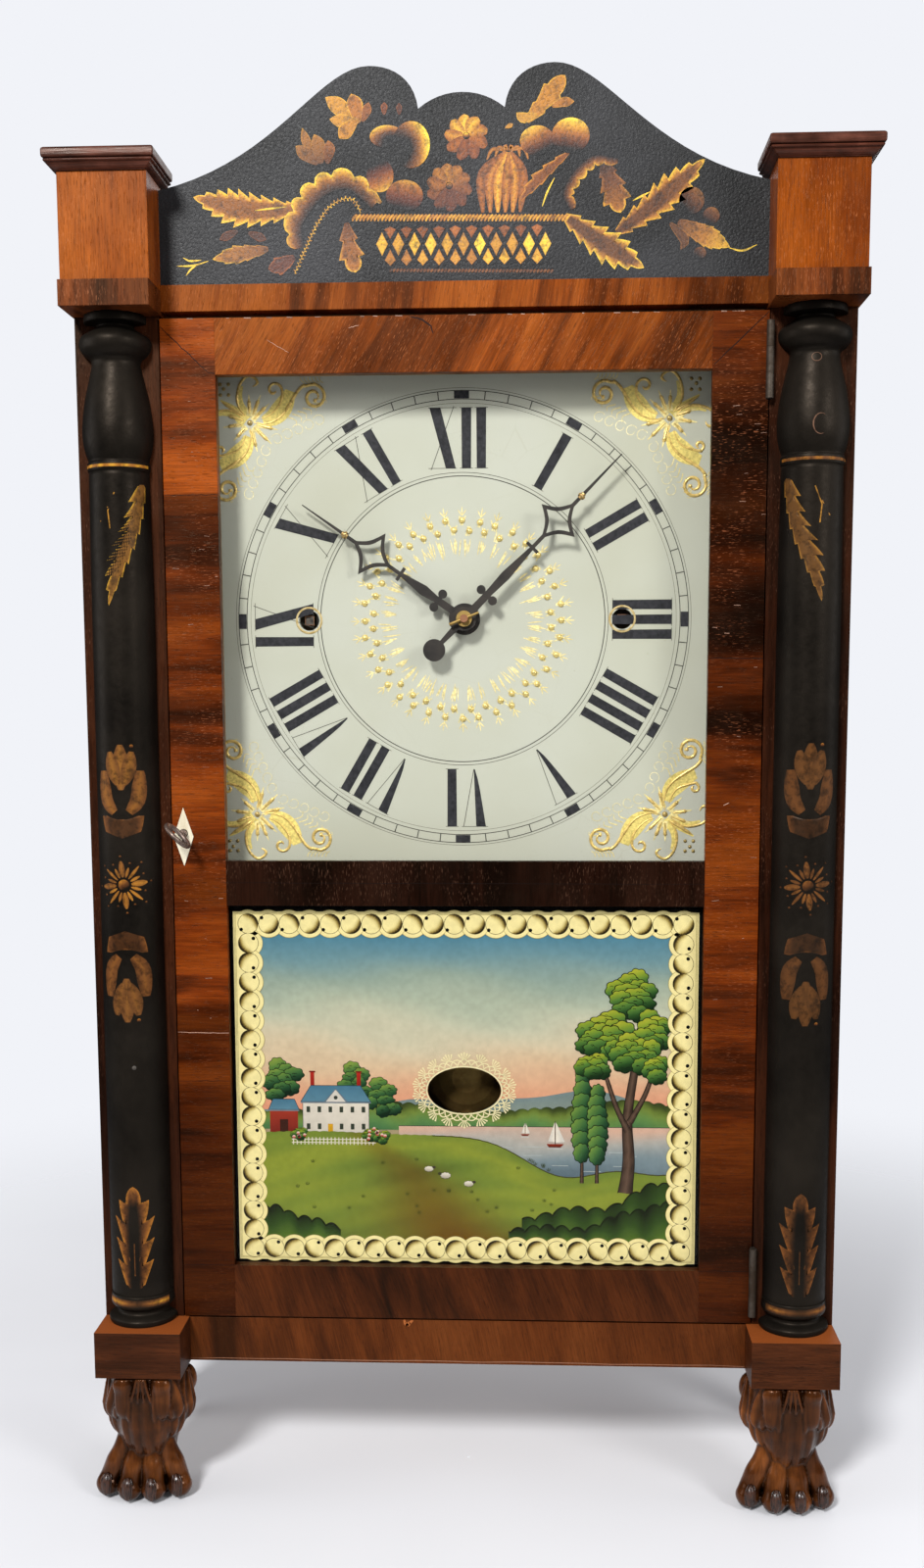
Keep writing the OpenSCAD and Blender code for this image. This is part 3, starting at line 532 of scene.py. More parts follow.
LEFT_TONES = [(108, 0.22), (180, 0.28), (252, 0.4), (256, 0.6), (286, 0.38), (298, 0.45), (306, 1.25),
              (355, 1.15), (366, 0.6), (378, 0.6), (389, 1.2), (470, 1.25), (475, 0.55), (482, 0.55),
              (490, 1.0), (520, 0.95), (545, 0.5), (552, 0.95), (572, 0.4), (597, 0.5), (599, 1.5),
              (650, 1.3), (696, 1.45)]
RIGHT_TONES = [(108, 0.35), (150, 0.25), (200, 0.4), (255, 0.75), (318, 1.05), (380, 0.85), (415, 0.8),
               (456, 0.65), (461, 0.18), (471, 0.18), (476, 0.6), (500, 0.55), (503, 0.5), (506, 0.2),
               (528, 0.12), (541, 0.12), (546, 0.4), (558, 0.4), (570, 0.14), (640, 0.14), (672, 0.6),
               (696, 0.8)]
RED = ((0.034, 0.006, 0.001), (0.10, 0.016, 0.0015), (0.17, 0.033, 0.003))
ORANGE = ((0.07, 0.014, 0.002), (0.17, 0.035, 0.004), (0.27, 0.066, 0.009))
DARK_RED = ((0.003, 0.001, 0.0005), (0.007, 0.002, 0.001), (0.013, 0.004, 0.002))

dress(veneer("stile_veneer_left", "z", *RED, LEFT_TONES, wide=22), "door_stile_left")
dress(veneer("stile_veneer_right", "z", *RED, RIGHT_TONES, wide=22, shift=3.1), "door_stile_right")
dress(veneer("door_rail_veneer_top", "x", *ORANGE, [(-171, 0.8), (-60, 0.85), (20, 1.1), (90, 0.8),
                                                  (171, 0.55)], wide=26, tilt=0.5, shift=1.7),
      "door_top_rail")
dress(veneer("door_rail_veneer_mid", "x", *DARK_RED, wide=26, shift=6.2), "door_mid_rail")
dress(veneer("door_rail_veneer_low", "x", (0.006, 0.002, 0.001), (0.030, 0.007, 0.002),
             (0.056, 0.013, 0.003), wide=14, tilt=-0.35, shift=8.9), "door_bottom_rail")
dress(veneer("cornice_veneer", "x", *ORANGE, [(-171, 0.8), (-60, 0.85), (60, 1.0), (171, 0.5)],
             wide=30, tilt=0.15, shift=2.4), "top_rail")
dress(veneer("base_veneer", "x", (0.03, 0.007, 0.002), (0.085, 0.020, 0.004), (0.12, 0.032, 0.007),
             [(-168, 0.8), (-157, 0.75), (-152, 0.25), (-142, 0.25), (-137, 0.85), (0, 0.9), (168, 0.8)],
             contrast=0.5, wide=22, tilt=-0.2, shift=4.8), "bottom_rail")
# The lower blocks' upward faces are painted much lighter: painted light from above.
dress(veneer("block_veneer_low", "z", (0.010, 0.003, 0.001), (0.030, 0.008, 0.003), (0.065, 0.017, 0.005),
             wide=20, shift=5.5, contrast=0.6, top=(0.22, 0.055, 0.012)), "lower_blocks")
dress(veneer("block_veneer_high", "x", (0.12, 0.022, 0.002), (0.20, 0.042, 0.003), (0.27, 0.064, 0.006),
             wide=12, shift=7.3, contrast=0.8), "upper_blocks")
BAND_TONES = [(-220, 0.8), (-209, 1.1), (-200, 0.55), (-195, 0.5), (-189, 0.95), (-182, 0.6), (-170, 0.55),
              (170, 0.7), (180, 0.6), (192, 1.0), (206, 0.6), (220, 0.8)]
dress(veneer("band_veneer", "x", (0.04, 0.010, 0.003), (0.12, 0.027, 0.006), (0.18, 0.045, 0.010),
             BAND_TONES, wide=34, shift=9.4), "block_bands")
# The case stiles beside the door are coloured near black: painted shade between the columns and the door,
# over the mahogany's own colour.
dress(veneer("stile_strip_painted_shade", "x", (0.008, 0.002, 0.001), (0.020, 0.005, 0.002), (0.036, 0.009, 0.003),
             wide=40, shift=2.2, gloss=0.35), "case_stiles")
dress(plain_wood("side_wood", "z", (0.045, 0.012, 0.005), (0.10, 0.027, 0.008), (0.16, 0.045, 0.012), 0.35,
                 (1.2, 0.8, 1.6)), "case_sides")

PINE = ((0.20, 0.105, 0.045), (0.34, 0.19, 0.085), (0.45, 0.27, 0.13))
dress(plain_wood("old_pine", "z", *PINE), "backboard", "movement_posts")
dress(plain_wood("old_pine_boards", "x", *PINE, shift=(2, 1, 5)), "top_board", "bottom_board")
dress(plain_wood("strip_wood", "z", (0.12, 0.06, 0.025), (0.2, 0.1, 0.04), (0.28, 0.15, 0.06)),
      "glazing_strips")
dress(plain_wood("stained_feet", "z", (0.03, 0.012, 0.006), (0.06, 0.022, 0.01), (0.1, 0.04, 0.018),
                 0.45), "rear_feet")
dress(plain_wood("plate_oak", "z", (0.26, 0.16, 0.07), (0.37, 0.24, 0.12), (0.46, 0.31, 0.17)),
      "front_plate", "back_plate")
dress(plain_wood("wheel_cherry", "x", (0.20, 0.075, 0.03), (0.30, 0.13, 0.055), (0.38, 0.18, 0.08)),
      "time_great_wheel", "strike_great_wheel", "centre_wheel", "third_wheel", "strike_pin_wheel",
      "motion_wheel", "hour_wheel", "time_drum", "strike_drum", "pulley_left", "pulley_right",
      "strike_fly")
dress(metal("old_brass", (0.62, 0.43, 0.14), (0.25, 0.15, 0.05), 0.35),
      "escape_wheel", "bell", "pendulum_bob", "hand_washer", "minute_pipe")
dress(metal("dark_iron", (0.10, 0.085, 0.07), (0.045, 0.03, 0.02), 0.4, 0.85),
      "lock_case", "lock_bolt", "hinge_door_leaves", "hinge_case_leaves", "verge", "hammer")
dress(metal("worn_key_iron", (0.36, 0.28, 0.24), (0.10, 0.065, 0.05), 0.28, 0.9, 140), "key")
dress(metal("drawn_wire", (0.45, 0.44, 0.42), (0.2, 0.17, 0.14), 0.3, 0.95), "pendulum_rod")
dress(metal("rough_casting", (0.06, 0.06, 0.06), (0.05, 0.03, 0.02), 0.55, 0.6, 90),
      "weight_left", "weight_right")
dress(metal("hand_black", (0.022, 0.019, 0.017), (0.045, 0.036, 0.030), 0.38, 0.3, 90),
      "minute_hand", "hour_hand")


def make_plain_looks():
    look = Look("bone_plate", Specular_IOR_Level=0.4)
    look.soft_edges(0.0003)
    vein = look.noise(along("z", 300, 40), 3.0, 0.6)
    look.colour(look.ramp(vein, [(0.3, (0.54, 0.47, 0.32)), (0.6, (0.68, 0.63, 0.49))]))
    look.roughness(look.span(vein, 0.2, 0.8, 0.3, 0.45))
    dress(look.material, "escutcheon")

    look = Look("dial_white", Specular_IOR_Level=0.3)
    look.soft_edges(0.0004)
    age = look.noise(7, 3.0, 0.55)
    speck = look.noise(700, 2.0, 0.6)
    body = look.ramp(age, [(0.3, (0.456, 0.456, 0.355)), (0.52, (0.501, 0.509, 0.42)),
                           (0.75, (0.53, 0.54, 0.468))])
    body = look.mix(look.span(speck, 0.70, 0.78), body, (0.30, 0.27, 0.18))
    crack = look.add("ShaderNodeTexVoronoi", {
        "Vector": look.scaled((42, 42, 42)), "Scale": 1.0}, feature="DISTANCE_TO_EDGE").outputs[0]
    vein = look.times(look.span(crack, 0.012, 0.0), look.span(age, 0.45, 0.6))
    body = look.mix(look.times(vein, 0.3), body, (0.42, 0.40, 0.30))
    look.colour(body)
    look.roughness(look.span(age, 0.2, 0.8, 0.42, 0.6))
    look.bump(look.noise(260, 3.0, 0.6), 0.00006)
    dress(look.material, "dial")


def make_glass(name, tint, ior, *names):
    """Old flat glass: clear straight through, with a reflection that grows at a slant."""
    look = Look(name)
    ripple = look.noise((18, 18, 9), 2.0)
    look.bump(ripple, 0.0004, 0.3)
    clear = look.add("ShaderNodeBsdfTransparent", {"Color": (*tint, 1)}).outputs[0]
    shine = look.add("ShaderNodeBsdfAnisotropic", {"Roughness": 0.04, "Normal": look.normal}).outputs[0]
    slant = look.add("ShaderNodeFresnel", {"IOR": ior}).outputs[0]
    inside = look.add("ShaderNodeNewGeometry").outputs["Backfacing"]
    slant = look.times(slant, look.math("SUBTRACT", 1.0, inside))
    look.surface(slant, clear, shine)
    dress(look.material, *names)


make_plain_looks()
make_glass("window_pane", (0.951, 0.951, 0.944), 1.3, "dial_window_glass")
make_glass("tablet_pane", (0.880, 0.866, 0.850), 1.22, "tablet_glass")

# Dial painting

# The painting sits a little off the dial's middle and is slightly low for its width, as in the photo
PAINT_SHIFT = (-1.6, -0.4)
DIAL_SQUASH = 0.992
INK = (0.032, 0.032, 0.036)
THIN_INK = (0.055, 0.052, 0.045)
GOLD = (0.86, 0.62, 0.20)
PALE_GOLD = (0.80, 0.68, 0.30)
YELLOW_WASH = (0.74, 0.60, 0.18)
NUMERALS = ("XII", "I", "II", "III", "IIII", "V", "VI", "VII", "VIII", "IX", "X", "XI")
NUM_IN, NUM_OUT = 88.5, 123.0
BAR_W, BAR_STEP = 5.7, 8.7


def on_dial(u, v, h=0.0):
    """Places a drawing on the dial: u right and v up from the middle of the painting."""
    none = 0 * u + 0 * v
    return np.stack([
        u + PAINT_SHIFT[0] + none, DIAL_FRONT - h + none, DIAL_Z + PAINT_SHIFT[1] + v + none], -1)


def polar(angle, r, s=0.0):
    """Dial place at a clockwise angle in degrees; s runs clockwise across the radius."""
    a = math.radians(angle)
    return np.array([r * math.sin(a) + s * math.cos(a), DIAL_SQUASH * (r * math.cos(a) - s * math.sin(a))])


def stroke(batch, angle, outer, inner, bulge=0.0):
    """A bar of a numeral between two spans: outer and inner are (low s, high s)."""
    rows, n = [], 7
    for k in range(n):
        t = k / (n - 1)
        r = NUM_OUT + (NUM_IN - NUM_OUT) * t
        low = outer[0] + (inner[0] - outer[0]) * t - bulge * t * (1 - t ** 6)
        high = outer[1] + (inner[1] - outer[1]) * t
        flat = np.array([polar(angle, r, low), polar(angle, r, high)])
        rows.append(on_dial(flat[:, 0], flat[:, 1], 0.08))
    batch.grid(rows, INK)


def straight(a, b, n):
    """n points on the line from a to b."""
    t = np.linspace(0, 1, n)[:, None]
    return a * (1 - t) + b * t


def hairline(batch, a, b, width=0.35, paint=THIN_INK):
    ribbon(batch, on_dial, straight(a, b, 6), width, paint, 0.06)


def numeral(batch, angle, letters):
    at, marks, end = 0.0, [], 0.0
    for i, letter in enumerate(letters):
        if letter == "I":
            marks.append(("bar", at))
            end = at + BAR_W
            at += BAR_STEP if letters[i + 1:i + 2] != "X" else BAR_STEP + 1.2
        elif letter == "V":
            marks.append(("V", at))
            end, at = at + 13.5, at + 17.4
        else:
            marks.append(("X", at))
            end, at = at + 15.5, at + 18.6
    shift = -end / 2 - (2.2 if len(letters) > 1 and letters != "III" else 0)
    for kind, at in marks:
        at += shift
        if kind == "bar":
            stroke(batch, angle, (at, at + BAR_W), (at + 0.2, at + BAR_W - 0.2))
            spread = (at - 1.0, at + BAR_W + 1.0)
        elif kind == "V":
            stroke(batch, angle, (at, at + 5.8), (at + 6.6, at + 7.2), bulge=1.1)
            hairline(batch, polar(angle, NUM_OUT, at + 13.3), polar(angle, NUM_IN, at + 7.2))
            spread = (at - 1.2, at + 14.5)
        else:
            stroke(batch, angle, (at, at + 6.4), (at + 9.4, at + 15.2))
            hairline(batch, polar(angle, NUM_OUT + 1, at + 14.2), polar(angle, NUM_IN - 1, at + 0.8))
            spread = (at - 0.8, at + 15.8)
        for r in (NUM_OUT + 0.1, NUM_IN - 0.1):
            if kind != "V" or r > NUM_IN:
                hairline(batch, polar(angle, r, spread[0]), polar(angle, r, spread[1]), 0.3)


def circle(batch, r, width):
    a = np.linspace(0, 2 * PI, 181)
    ribbon(batch, on_dial, np.stack([r * np.sin(a), DIAL_SQUASH * r * np.cos(a)], -1), width, THIN_INK,
           0.05)


def paint_dial():
    batch = Batch()
    for r, width in ((134.4, 0.22), (132.9, 0.45), (128.0, 0.45), (125.7, 0.18), (86.0, 0.3), (84.0, 0.5)):
        circle(batch, r, width)
    for minute in range(60):
        angle = minute * 6
        if minute % 5:
            hairline(batch, polar(angle, 128), polar(angle, 132.9), 0.6, (0.07, 0.07, 0.06))
        else:
            corners = [polar(angle, r, side) for r in (132.7, 128.3) for side in (-4.4, 4.4)]
            flat = np.array(corners).reshape(2, 2, 2)
            batch.grid(on_dial(flat[..., 0], flat[..., 1], 0.07), INK)
    for hour, letters in enumerate(NUMERALS):
        numeral(batch, hour * 30, letters)
    batch.piece("dial_numerals", painted("dial_ink", 0.4, 0.35, 500, 0.00003), "case",
                "painted_dial", smooth=False)


def swirl(centre, r0, r1, start, turns, n=40):
    """A spiral line; turns is positive for counterclockwise."""
    t = np.linspace(0, 1, n)
    r = r0 + (r1 - r0) * t ** 0.8
    a = math.radians(start) + 2 * PI * turns * t
    return centre + r[:, None] * heading(a)


def smooth_line(points, n=8):
    """Catmull-Rom curve through points of any dimension."""
    p = np.asarray(points, float)
    p = np.concatenate([2 * p[:1] - p[1:2], p, 2 * p[-1:] - p[-2:-1]])
    t = np.linspace(0, 1, n, endpoint=False)[:, None]
    out = []
    for a, b, c, d in zip(p, p[1:], p[2:], p[3:]):
        out.append(0.5 * (2 * b + (c - a) * t + (2 * a - 5 * b + 4 * c - d) * t ** 2
                          + (3 * b - 3 * c + d - a) * t ** 3))
    return np.concatenate(out + [p[-2:-1]])


SPANDREL_LINE = [(2.5, 0), (9, 0.6), (15.9, -1.7), (20.6, -5.8), (24.6, -11.6), (28.7, -18), (32.2, -20.9)]
SPANDREL_SIDE = [(6.7, -2.3), (11.3, -4.1), (15.9, -8.1), (19.1, -13.3), (19.4, -18)]
SPANDREL_HOOK = [(-2, -3.5), (-6.1, -8.7), (-7.2, -14.5), (-6.1, -20.3), (-3.8, -24.3), (-0.3, -26.7),
                 (3.2, -25.5), (4.9, -23.2), (3.8, -21.4), (2, -20.6)]
PETALS = ((76, 5, 14), (44, 4, 14.5), (14, 5, 14), (-43, 3, 13), (-67, 5, 14), (-91, 5, 13), (199, 4, 13),
          (171, 5, 13), (134, 4, 11))
QUINCUNX = ((-12.2, -16), (-17, -16), (-15, -19.4), (-12.2, -22), (-17, -22))


def gild_corner(gilt, wash, left, low):
    """One corner's raised scrolls and its yellow wash, mirrored into its place."""
    sx, sz = (1 if left else -1), (1 if low else -1)

    def place(points, height):
        flat = np.asarray(points, float)
        return on_dial(sx * (flat[..., 0] - 122.3) - 1.8, sz * (flat[..., 1] - 114.8), height)

    def spot(u, v, height):
        return place(np.stack([u, v], -1), height)

    def raised(points, width=1.5):
        path = smooth_line(points, 5)
        tube(gilt, place(path, 0.14), lambda t: width * 0.62 * min(1, 0.25 + 4 * t, 0.25 + 4 * (1 - t)), GOLD,
             sides=8, flat=0.75)

    def lay(points, width, paint):
        path = smooth_line(points, 5)
        ribbon(wash, spot, path, width, paint, wash.rise())

    for swap in (False, True):
        def turn(points):
            points = np.asarray(points, float)
            return points[:, ::-1] if swap else points
        small = 0.62 if swap else 1.0
        spiral = swirl((37.9, -14.2), 8.0, 1.9, 232, 1.55)
        line = np.concatenate([SPANDREL_LINE, spiral[::3]])
        raised(turn(line))
        end = turn(spiral[-1:])[0]
        dome(gilt, spot, end[0], end[1], 1.1, 0.8, GOLD)
        curl = swirl((14.5 + (1 - small) * 3, -18.5 + (1 - small) * 3), 4.9 * small, 1.2, 0, -0.95)
        raised(turn(np.concatenate([SPANDREL_SIDE[:3 if swap else 5], curl[::3]])), 1.3)
        raised(turn(SPANDREL_HOOK), 1.3)
        wash_mid = (np.array(SPANDREL_LINE[1:6]) + np.array(SPANDREL_SIDE)) / 2
        lay(turn(wash_mid), bulging(5.5, 6), YELLOW_WASH)
        lay(turn([(0, -3), (-4.5, -9), (-5.5, -15), (-4, -21)]), lambda t: 4.5 * (1 - t) + 1.2, YELLOW_WASH)
        for k in range(7):
            base = np.array([22 + 3.1 * k, -3.2 - 1.6 * k])
            tip = base + np.array([5.5 - 0.2 * k, 5.2 - 0.5 * k])
            middle = (base + tip) / 2 + np.array([2.2, -0.6])
            lay(turn([base, middle, tip]), lambda t: 0.75 * (1 - 0.6 * t), (0.70, 0.60, 0.28))
        for k in range(5):
            ring = swirl((16 + 6.2 * k, 9.5 - 2.6 * k), 3.6, 2.0, 200, 0.9, 14)
            lay(turn(ring), 0.42, (0.70, 0.63, 0.36))
        for k in range(6):
            base = np.array([30 + 2.2 * k, -25.6])
            lay(turn([base, base + (0.8, 2.2), base + (2.6, 3.4)]), 0.6, (0.66, 0.55, 0.25))
    raised([(-3.2, -4), (-9, -7.5), (-16.5, -12.2)], 1.6)
    lay([(-2, -2), (-9, -8), (-17, -13)], lambda t: 5 * (1 - t) + 1, YELLOW_WASH)
    for angle, r0, r1 in PETALS:
        way = heading(math.radians(angle))
        path = np.linspace(0, 1, 9)[:, None] * way * (r1 - r0) + way * r0
        tube(gilt, place(path, 0.15), lambda t: 0.35 + 0.95 * t ** 1.2 if t < 0.85 else 6.825 - 6.5 * t,
             GOLD, sides=7, flat=0.8)
        lay([way * (r0 - 1), way * (r1 + 3)], lambda t: 3.4 * (1 - t) + 0.4, PALE_GOLD)
    for u, v in QUINCUNX:
        dome(gilt, spot, u, v, 1.1, 0.8, (0.42, 0.31, 0.11))
    dome(gilt, spot, 0, 0, 1.7, 1.1, (0.5, 0.36, 0.12))


def gild_dial():
    gilt, wash = Batch(), Batch()
    for left in (True, False):
        for low in (True, False):
            gild_corner(gilt, wash, left, low)
    rng = np.random.default_rng(7)
    for k in range(72):
        inner = k % 2
        angle = k * 5 + rng.normal(0, 0.5)
        r = (52.6 if inner else 58.3) + rng.normal(0, 0.35)
        u, v = polar(angle, r)
        dome(gilt, on_dial, u, v, 1.9, 1.5, (0.84, 0.66, 0.24), 5, 18)
        if inner:
            for j in range(6):
                lean = rng.normal(0, 2.4)
                start = polar(angle + lean, 47.5 + rng.normal(0, 1))
                stop = polar(angle + lean * 0.6, 40 + rng.normal(0, 1.5))
                ribbon(wash, on_dial, straight(start, stop, 5), bulging(0.25, 0.5), (0.80, 0.68, 0.32),
                       wash.rise())
        else:
            for spread in (-9, 0, 9):
                tip = polar(angle, 61 + (5.5 if spread == 0 else 3.6), spread * 0.28)
                ribbon(wash, on_dial, straight(polar(angle, 61), tip, 5), bulging(0.2, 0.45),
                       (0.78, 0.65, 0.28), wash.rise())
        for j in range(3):
            start = polar(angle + rng.normal(0, 1.5), r - 3.0)
            stop = polar(angle + rng.normal(0, 1.5), r + 2.6)
            ribbon(wash, on_dial, straight(start, stop, 4), 0.8, (0.74, 0.66, 0.34), wash.rise())
    look = Look("dial_gilding", Metallic=0.35)
    paint = look.mesh_paint()
    wear = look.noise(420, 3.0, 0.6)
    look.colour(look.tone(paint, look.span(wear, 0.25, 0.75, 0.7, 1.25)))
    look.roughness(look.span(wear, 0.2, 0.8, 0.22, 0.42))
    look.bump(wear, 0.00008)
    gilt.piece("dial_raised_gilding", look.material, "case", "painted_dial")
    wash.piece("dial_gold_wash", painted("gold_wash", 0.5, 0.3, 600, 0.00003), "case", "painted_dial",
               smooth=False)


paint_dial()
gild_dial()


# Ebonised wood and its bronze stencils

def ebonised(name, rough_scale, gloss, relief, base=((0.003, 0.0025, 0.002), (0.010, 0.008, 0.006)),
             shine=0.13, tint=(1, 0.8, 0.62, 1)):
    """Black paint with a leathery grain. Bronze powder, from the mesh's paint, lies thinly on it."""
    look = Look(name, Specular_IOR_Level=shine, Specular_Tint=tint)
    cloud = look.noise(16, 3.0, 0.6)
    body = look.ramp(cloud, [(0.35, base[0]), (0.7, base[1])])
    paint = look.mesh_paint()
    grain = look.noise(rough_scale, 3.0, 0.65, 0.3)
    rub = look.noise(160, 4.0, 0.65)
    keep = look.times(look.span(grain, 0.30, 0.55, 0.55, 1.2), look.span(rub, 0.28, 0.52, 0.35, 1.05))
    bronze = look.tone(paint, keep)
    look.colour(look.mix(1.0, body, bronze, "ADD"))
    look.roughness(look.span(grain, 0.2, 0.8, gloss, gloss + 0.18))
    look.bump(grain, relief)
    return look.material


TONES = np.array([(0, 0, 0), (0.09, 0.030, 0.006), (0.25, 0.095, 0.010), (0.46, 0.245, 0.016),
                  (0.72, 0.50, 0.035)])


def bronze(level, warm=0.0):
    """Stencil colour from 0, bare black, to 1, bright gold; warm pulls it to red-brown."""
    at = np.clip(level, 0, 1) * (len(TONES) - 1)
    i = int(min(at, len(TONES) - 2))
    colour = TONES[i] * (1 - at + i) + TONES[i + 1] * (at - i)
    return colour * (1.0, 1 - 0.35 * warm, 1 - 0.35 * warm)


def resample(path, n):
    path = np.asarray(path, float)
    run = np.concatenate([[0], np.cumsum(np.linalg.norm(np.diff(path, axis=0), axis=1))])
    at = np.linspace(0, run[-1], n)
    return np.stack([np.interp(at, run, path[:, i]) for i in range(path.shape[1])], -1)


def spine(path, n):
    """n even points on a smooth curve, their directions, and the way to the left of each."""
    rib = resample(smooth_line(path, 8), n)
    run = directions(rib)
    return rib, run, np.stack([-run[:, 1], run[:, 0]], -1)


def leaf(batch, place, path, width, teeth=6, depth=0.4, lean=0.35, fat=0.9, base=0.25, sides=(1, 1),
         bright=1.0, core=0.0, rim=0.5, fade=0.0, warm=0.0):
    """A serrated stencil leaf along a rib. Its rim is gold and its middle fades into the black."""
    n = max(8, teeth * 5)
    rib, run, out = spine(path, n + 1)
    c = np.linspace(1, -1, 17)
    rows, paint = np.zeros((n + 1, len(c), 2)), np.zeros((n + 1, len(c), 3))
    for i in range(n + 1):
        t = i / n
        widest = fat * 0.6
        swell = base + (1 - base) * math.sin(PI * min(0.6, t / fat) ** 0.8 / 2)
        if t >= widest:
            swell *= 1 - ((t - widest) / (1 - widest)) ** 1.6
        phase = (t * teeth) % 1.0 if teeth else 1.0
        for j, w in enumerate(c):
            side = sides[0] if w > 0 else sides[1]
            ragged = 1 - depth * (1 - phase) if abs(w) > 0.5 else 1 - depth * 0.5
            reach_out = width / 2 * swell * ragged * side * w
            ahead = lean * width / 2 * swell * abs(w) * side * (0.4 + 0.6 * phase)
            rows[i, j] = rib[i] + out[i] * reach_out + run[i] * ahead
            edge = max(0, (abs(w) - rim) / (1 - rim))
            tip = max(0, (t - 0.82) / 0.18)
            level = bright * max(core, edge, tip * 0.9) * (1 - fade * (1 - t))
            paint[i, j] = bronze(level, warm) * (0.0 if side == 0 and w != 0 else 1.0)
    batch.grid(place(rows[..., 0], rows[..., 1], batch.rise()), paint)


def fruit(batch, place, u, v, ru, rv, light, bright=1.0, warm=0.3, sweep=0.0):
    """A round fruit whose bronze is brightest on the side towards light and fades away from it."""
    a, q = whole_turn(30), np.array([1, 0.9, 0.72, 0.5, 0.28, 0.01])
    way = heading(math.radians(light))
    rows, paint, height = [], [], batch.rise()
    for k in q:
        flat = (ru * k, rv * k) * heading(a)
        rows.append(place(u + flat[:, 0], v + flat[:, 1], height))
        facing = (np.cos(a) * way[0] + np.sin(a) * way[1]) * k
        paint.append([bronze(bright * float(np.clip(0.42 + 0.6 * f - sweep * (1 - k), 0, 1)), warm * (1 - f))
                      for f in facing])
    batch.grid(np.array(rows), np.array(paint), closed=True)


def petal(batch, place, path, width, bright, warm=0.3, ends=0.1):
    """A smooth-edged stencil spot, dark round its rim."""
    rib = resample(smooth_line(path, 6), 10)
    ribbon(batch, place, rib, lambda t: width * (ends + (1 - ends) * math.sin(PI * (0.04 + 0.92 * t)) ** 0.7),
           lambda t, c: bronze(bright * (1.0 - 0.35 * abs(c)), warm), batch.rise(), 10)


def melon(batch, place, u, v, r, bright, ribs=9):
    for k in range(ribs):
        way = heading(PI / 2 + 2 * PI * k / ribs)
        bend = np.array([-way[1], way[0]]) * 0.12 * r
        start = np.array([u, v]) + way * r * 0.16
        stop = np.array([u, v]) + way * r * (1 - 0.08 * way[1])
        petal(batch, place, [start, (start + stop) / 2 + bend, stop], r * 0.58,
              bright * (0.72 + 0.28 * way[1]), 0.5 - 0.4 * way[1], ends=0.2)
    fruit(batch, place, u, v, r * 0.13, r * 0.13, 90, bright * 1.1, 0)


def rope(batch, place, a, b, step, size, bright, rng):
    n = int(math.hypot(b[0] - a[0], b[1] - a[1]) / step)
    for k in range(n):
        t = k / n
        u, v = a[0] + (b[0] - a[0]) * t, a[1] + (b[1] - a[1]) * t
        petal(batch, place, [(u - size * 0.22, v - size / 2), (u, v), (u + size * 0.5, v + size / 2)],
              step * 0.8, bright * rng.uniform(0.75, 1.1), 0.3, ends=0.3)


def diamond(batch, place, u, v, half_w, up, down, bright, warm):
    corners = np.array([(u, v + up), (u + half_w, v), (u, v - down), (u - half_w, v)])
    rows, height = [], batch.rise()
    for k in (1.0, 0.8, 0.01):
        ring = (u, v) + (corners - (u, v)) * k
        mids = (ring + np.roll(ring, -1, 0)) / 2 - (ring - (u, v) + np.roll(ring, -1, 0) - (u, v)) * 0.015
        ring = np.stack([ring, mids], 1).reshape(-1, 2)
        rows.append(place(ring[:, 0], ring[:, 1], height))
    paint = np.array([[bronze(bright * s, warm)] * 8 for s in (0.75, 0.95, 1.0)])
    batch.grid(np.array(rows), paint, closed=True)


def scatter(batch, place, path, step, size, bright, spread, rng, lean=0.0):
    """Small barbs along a curved stem."""
    path, run, left = spine(path, 60)
    length = np.sum(np.linalg.norm(np.diff(path, axis=0), axis=1))
    ribbon(batch, place, path, size * 0.35, bronze(bright * 0.8), batch.rise())
    for k in range(int(length / step)):
        i = int(k * step / length * 59)
        side = left[i] * (1 if k % 2 else -1)
        tip = path[i] + side * spread * rng.uniform(0.6, 1.1) + run[i] * lean
        petal(batch, place, [path[i], (path[i] + tip) / 2, tip], size, bright * rng.uniform(0.6, 1), 0)


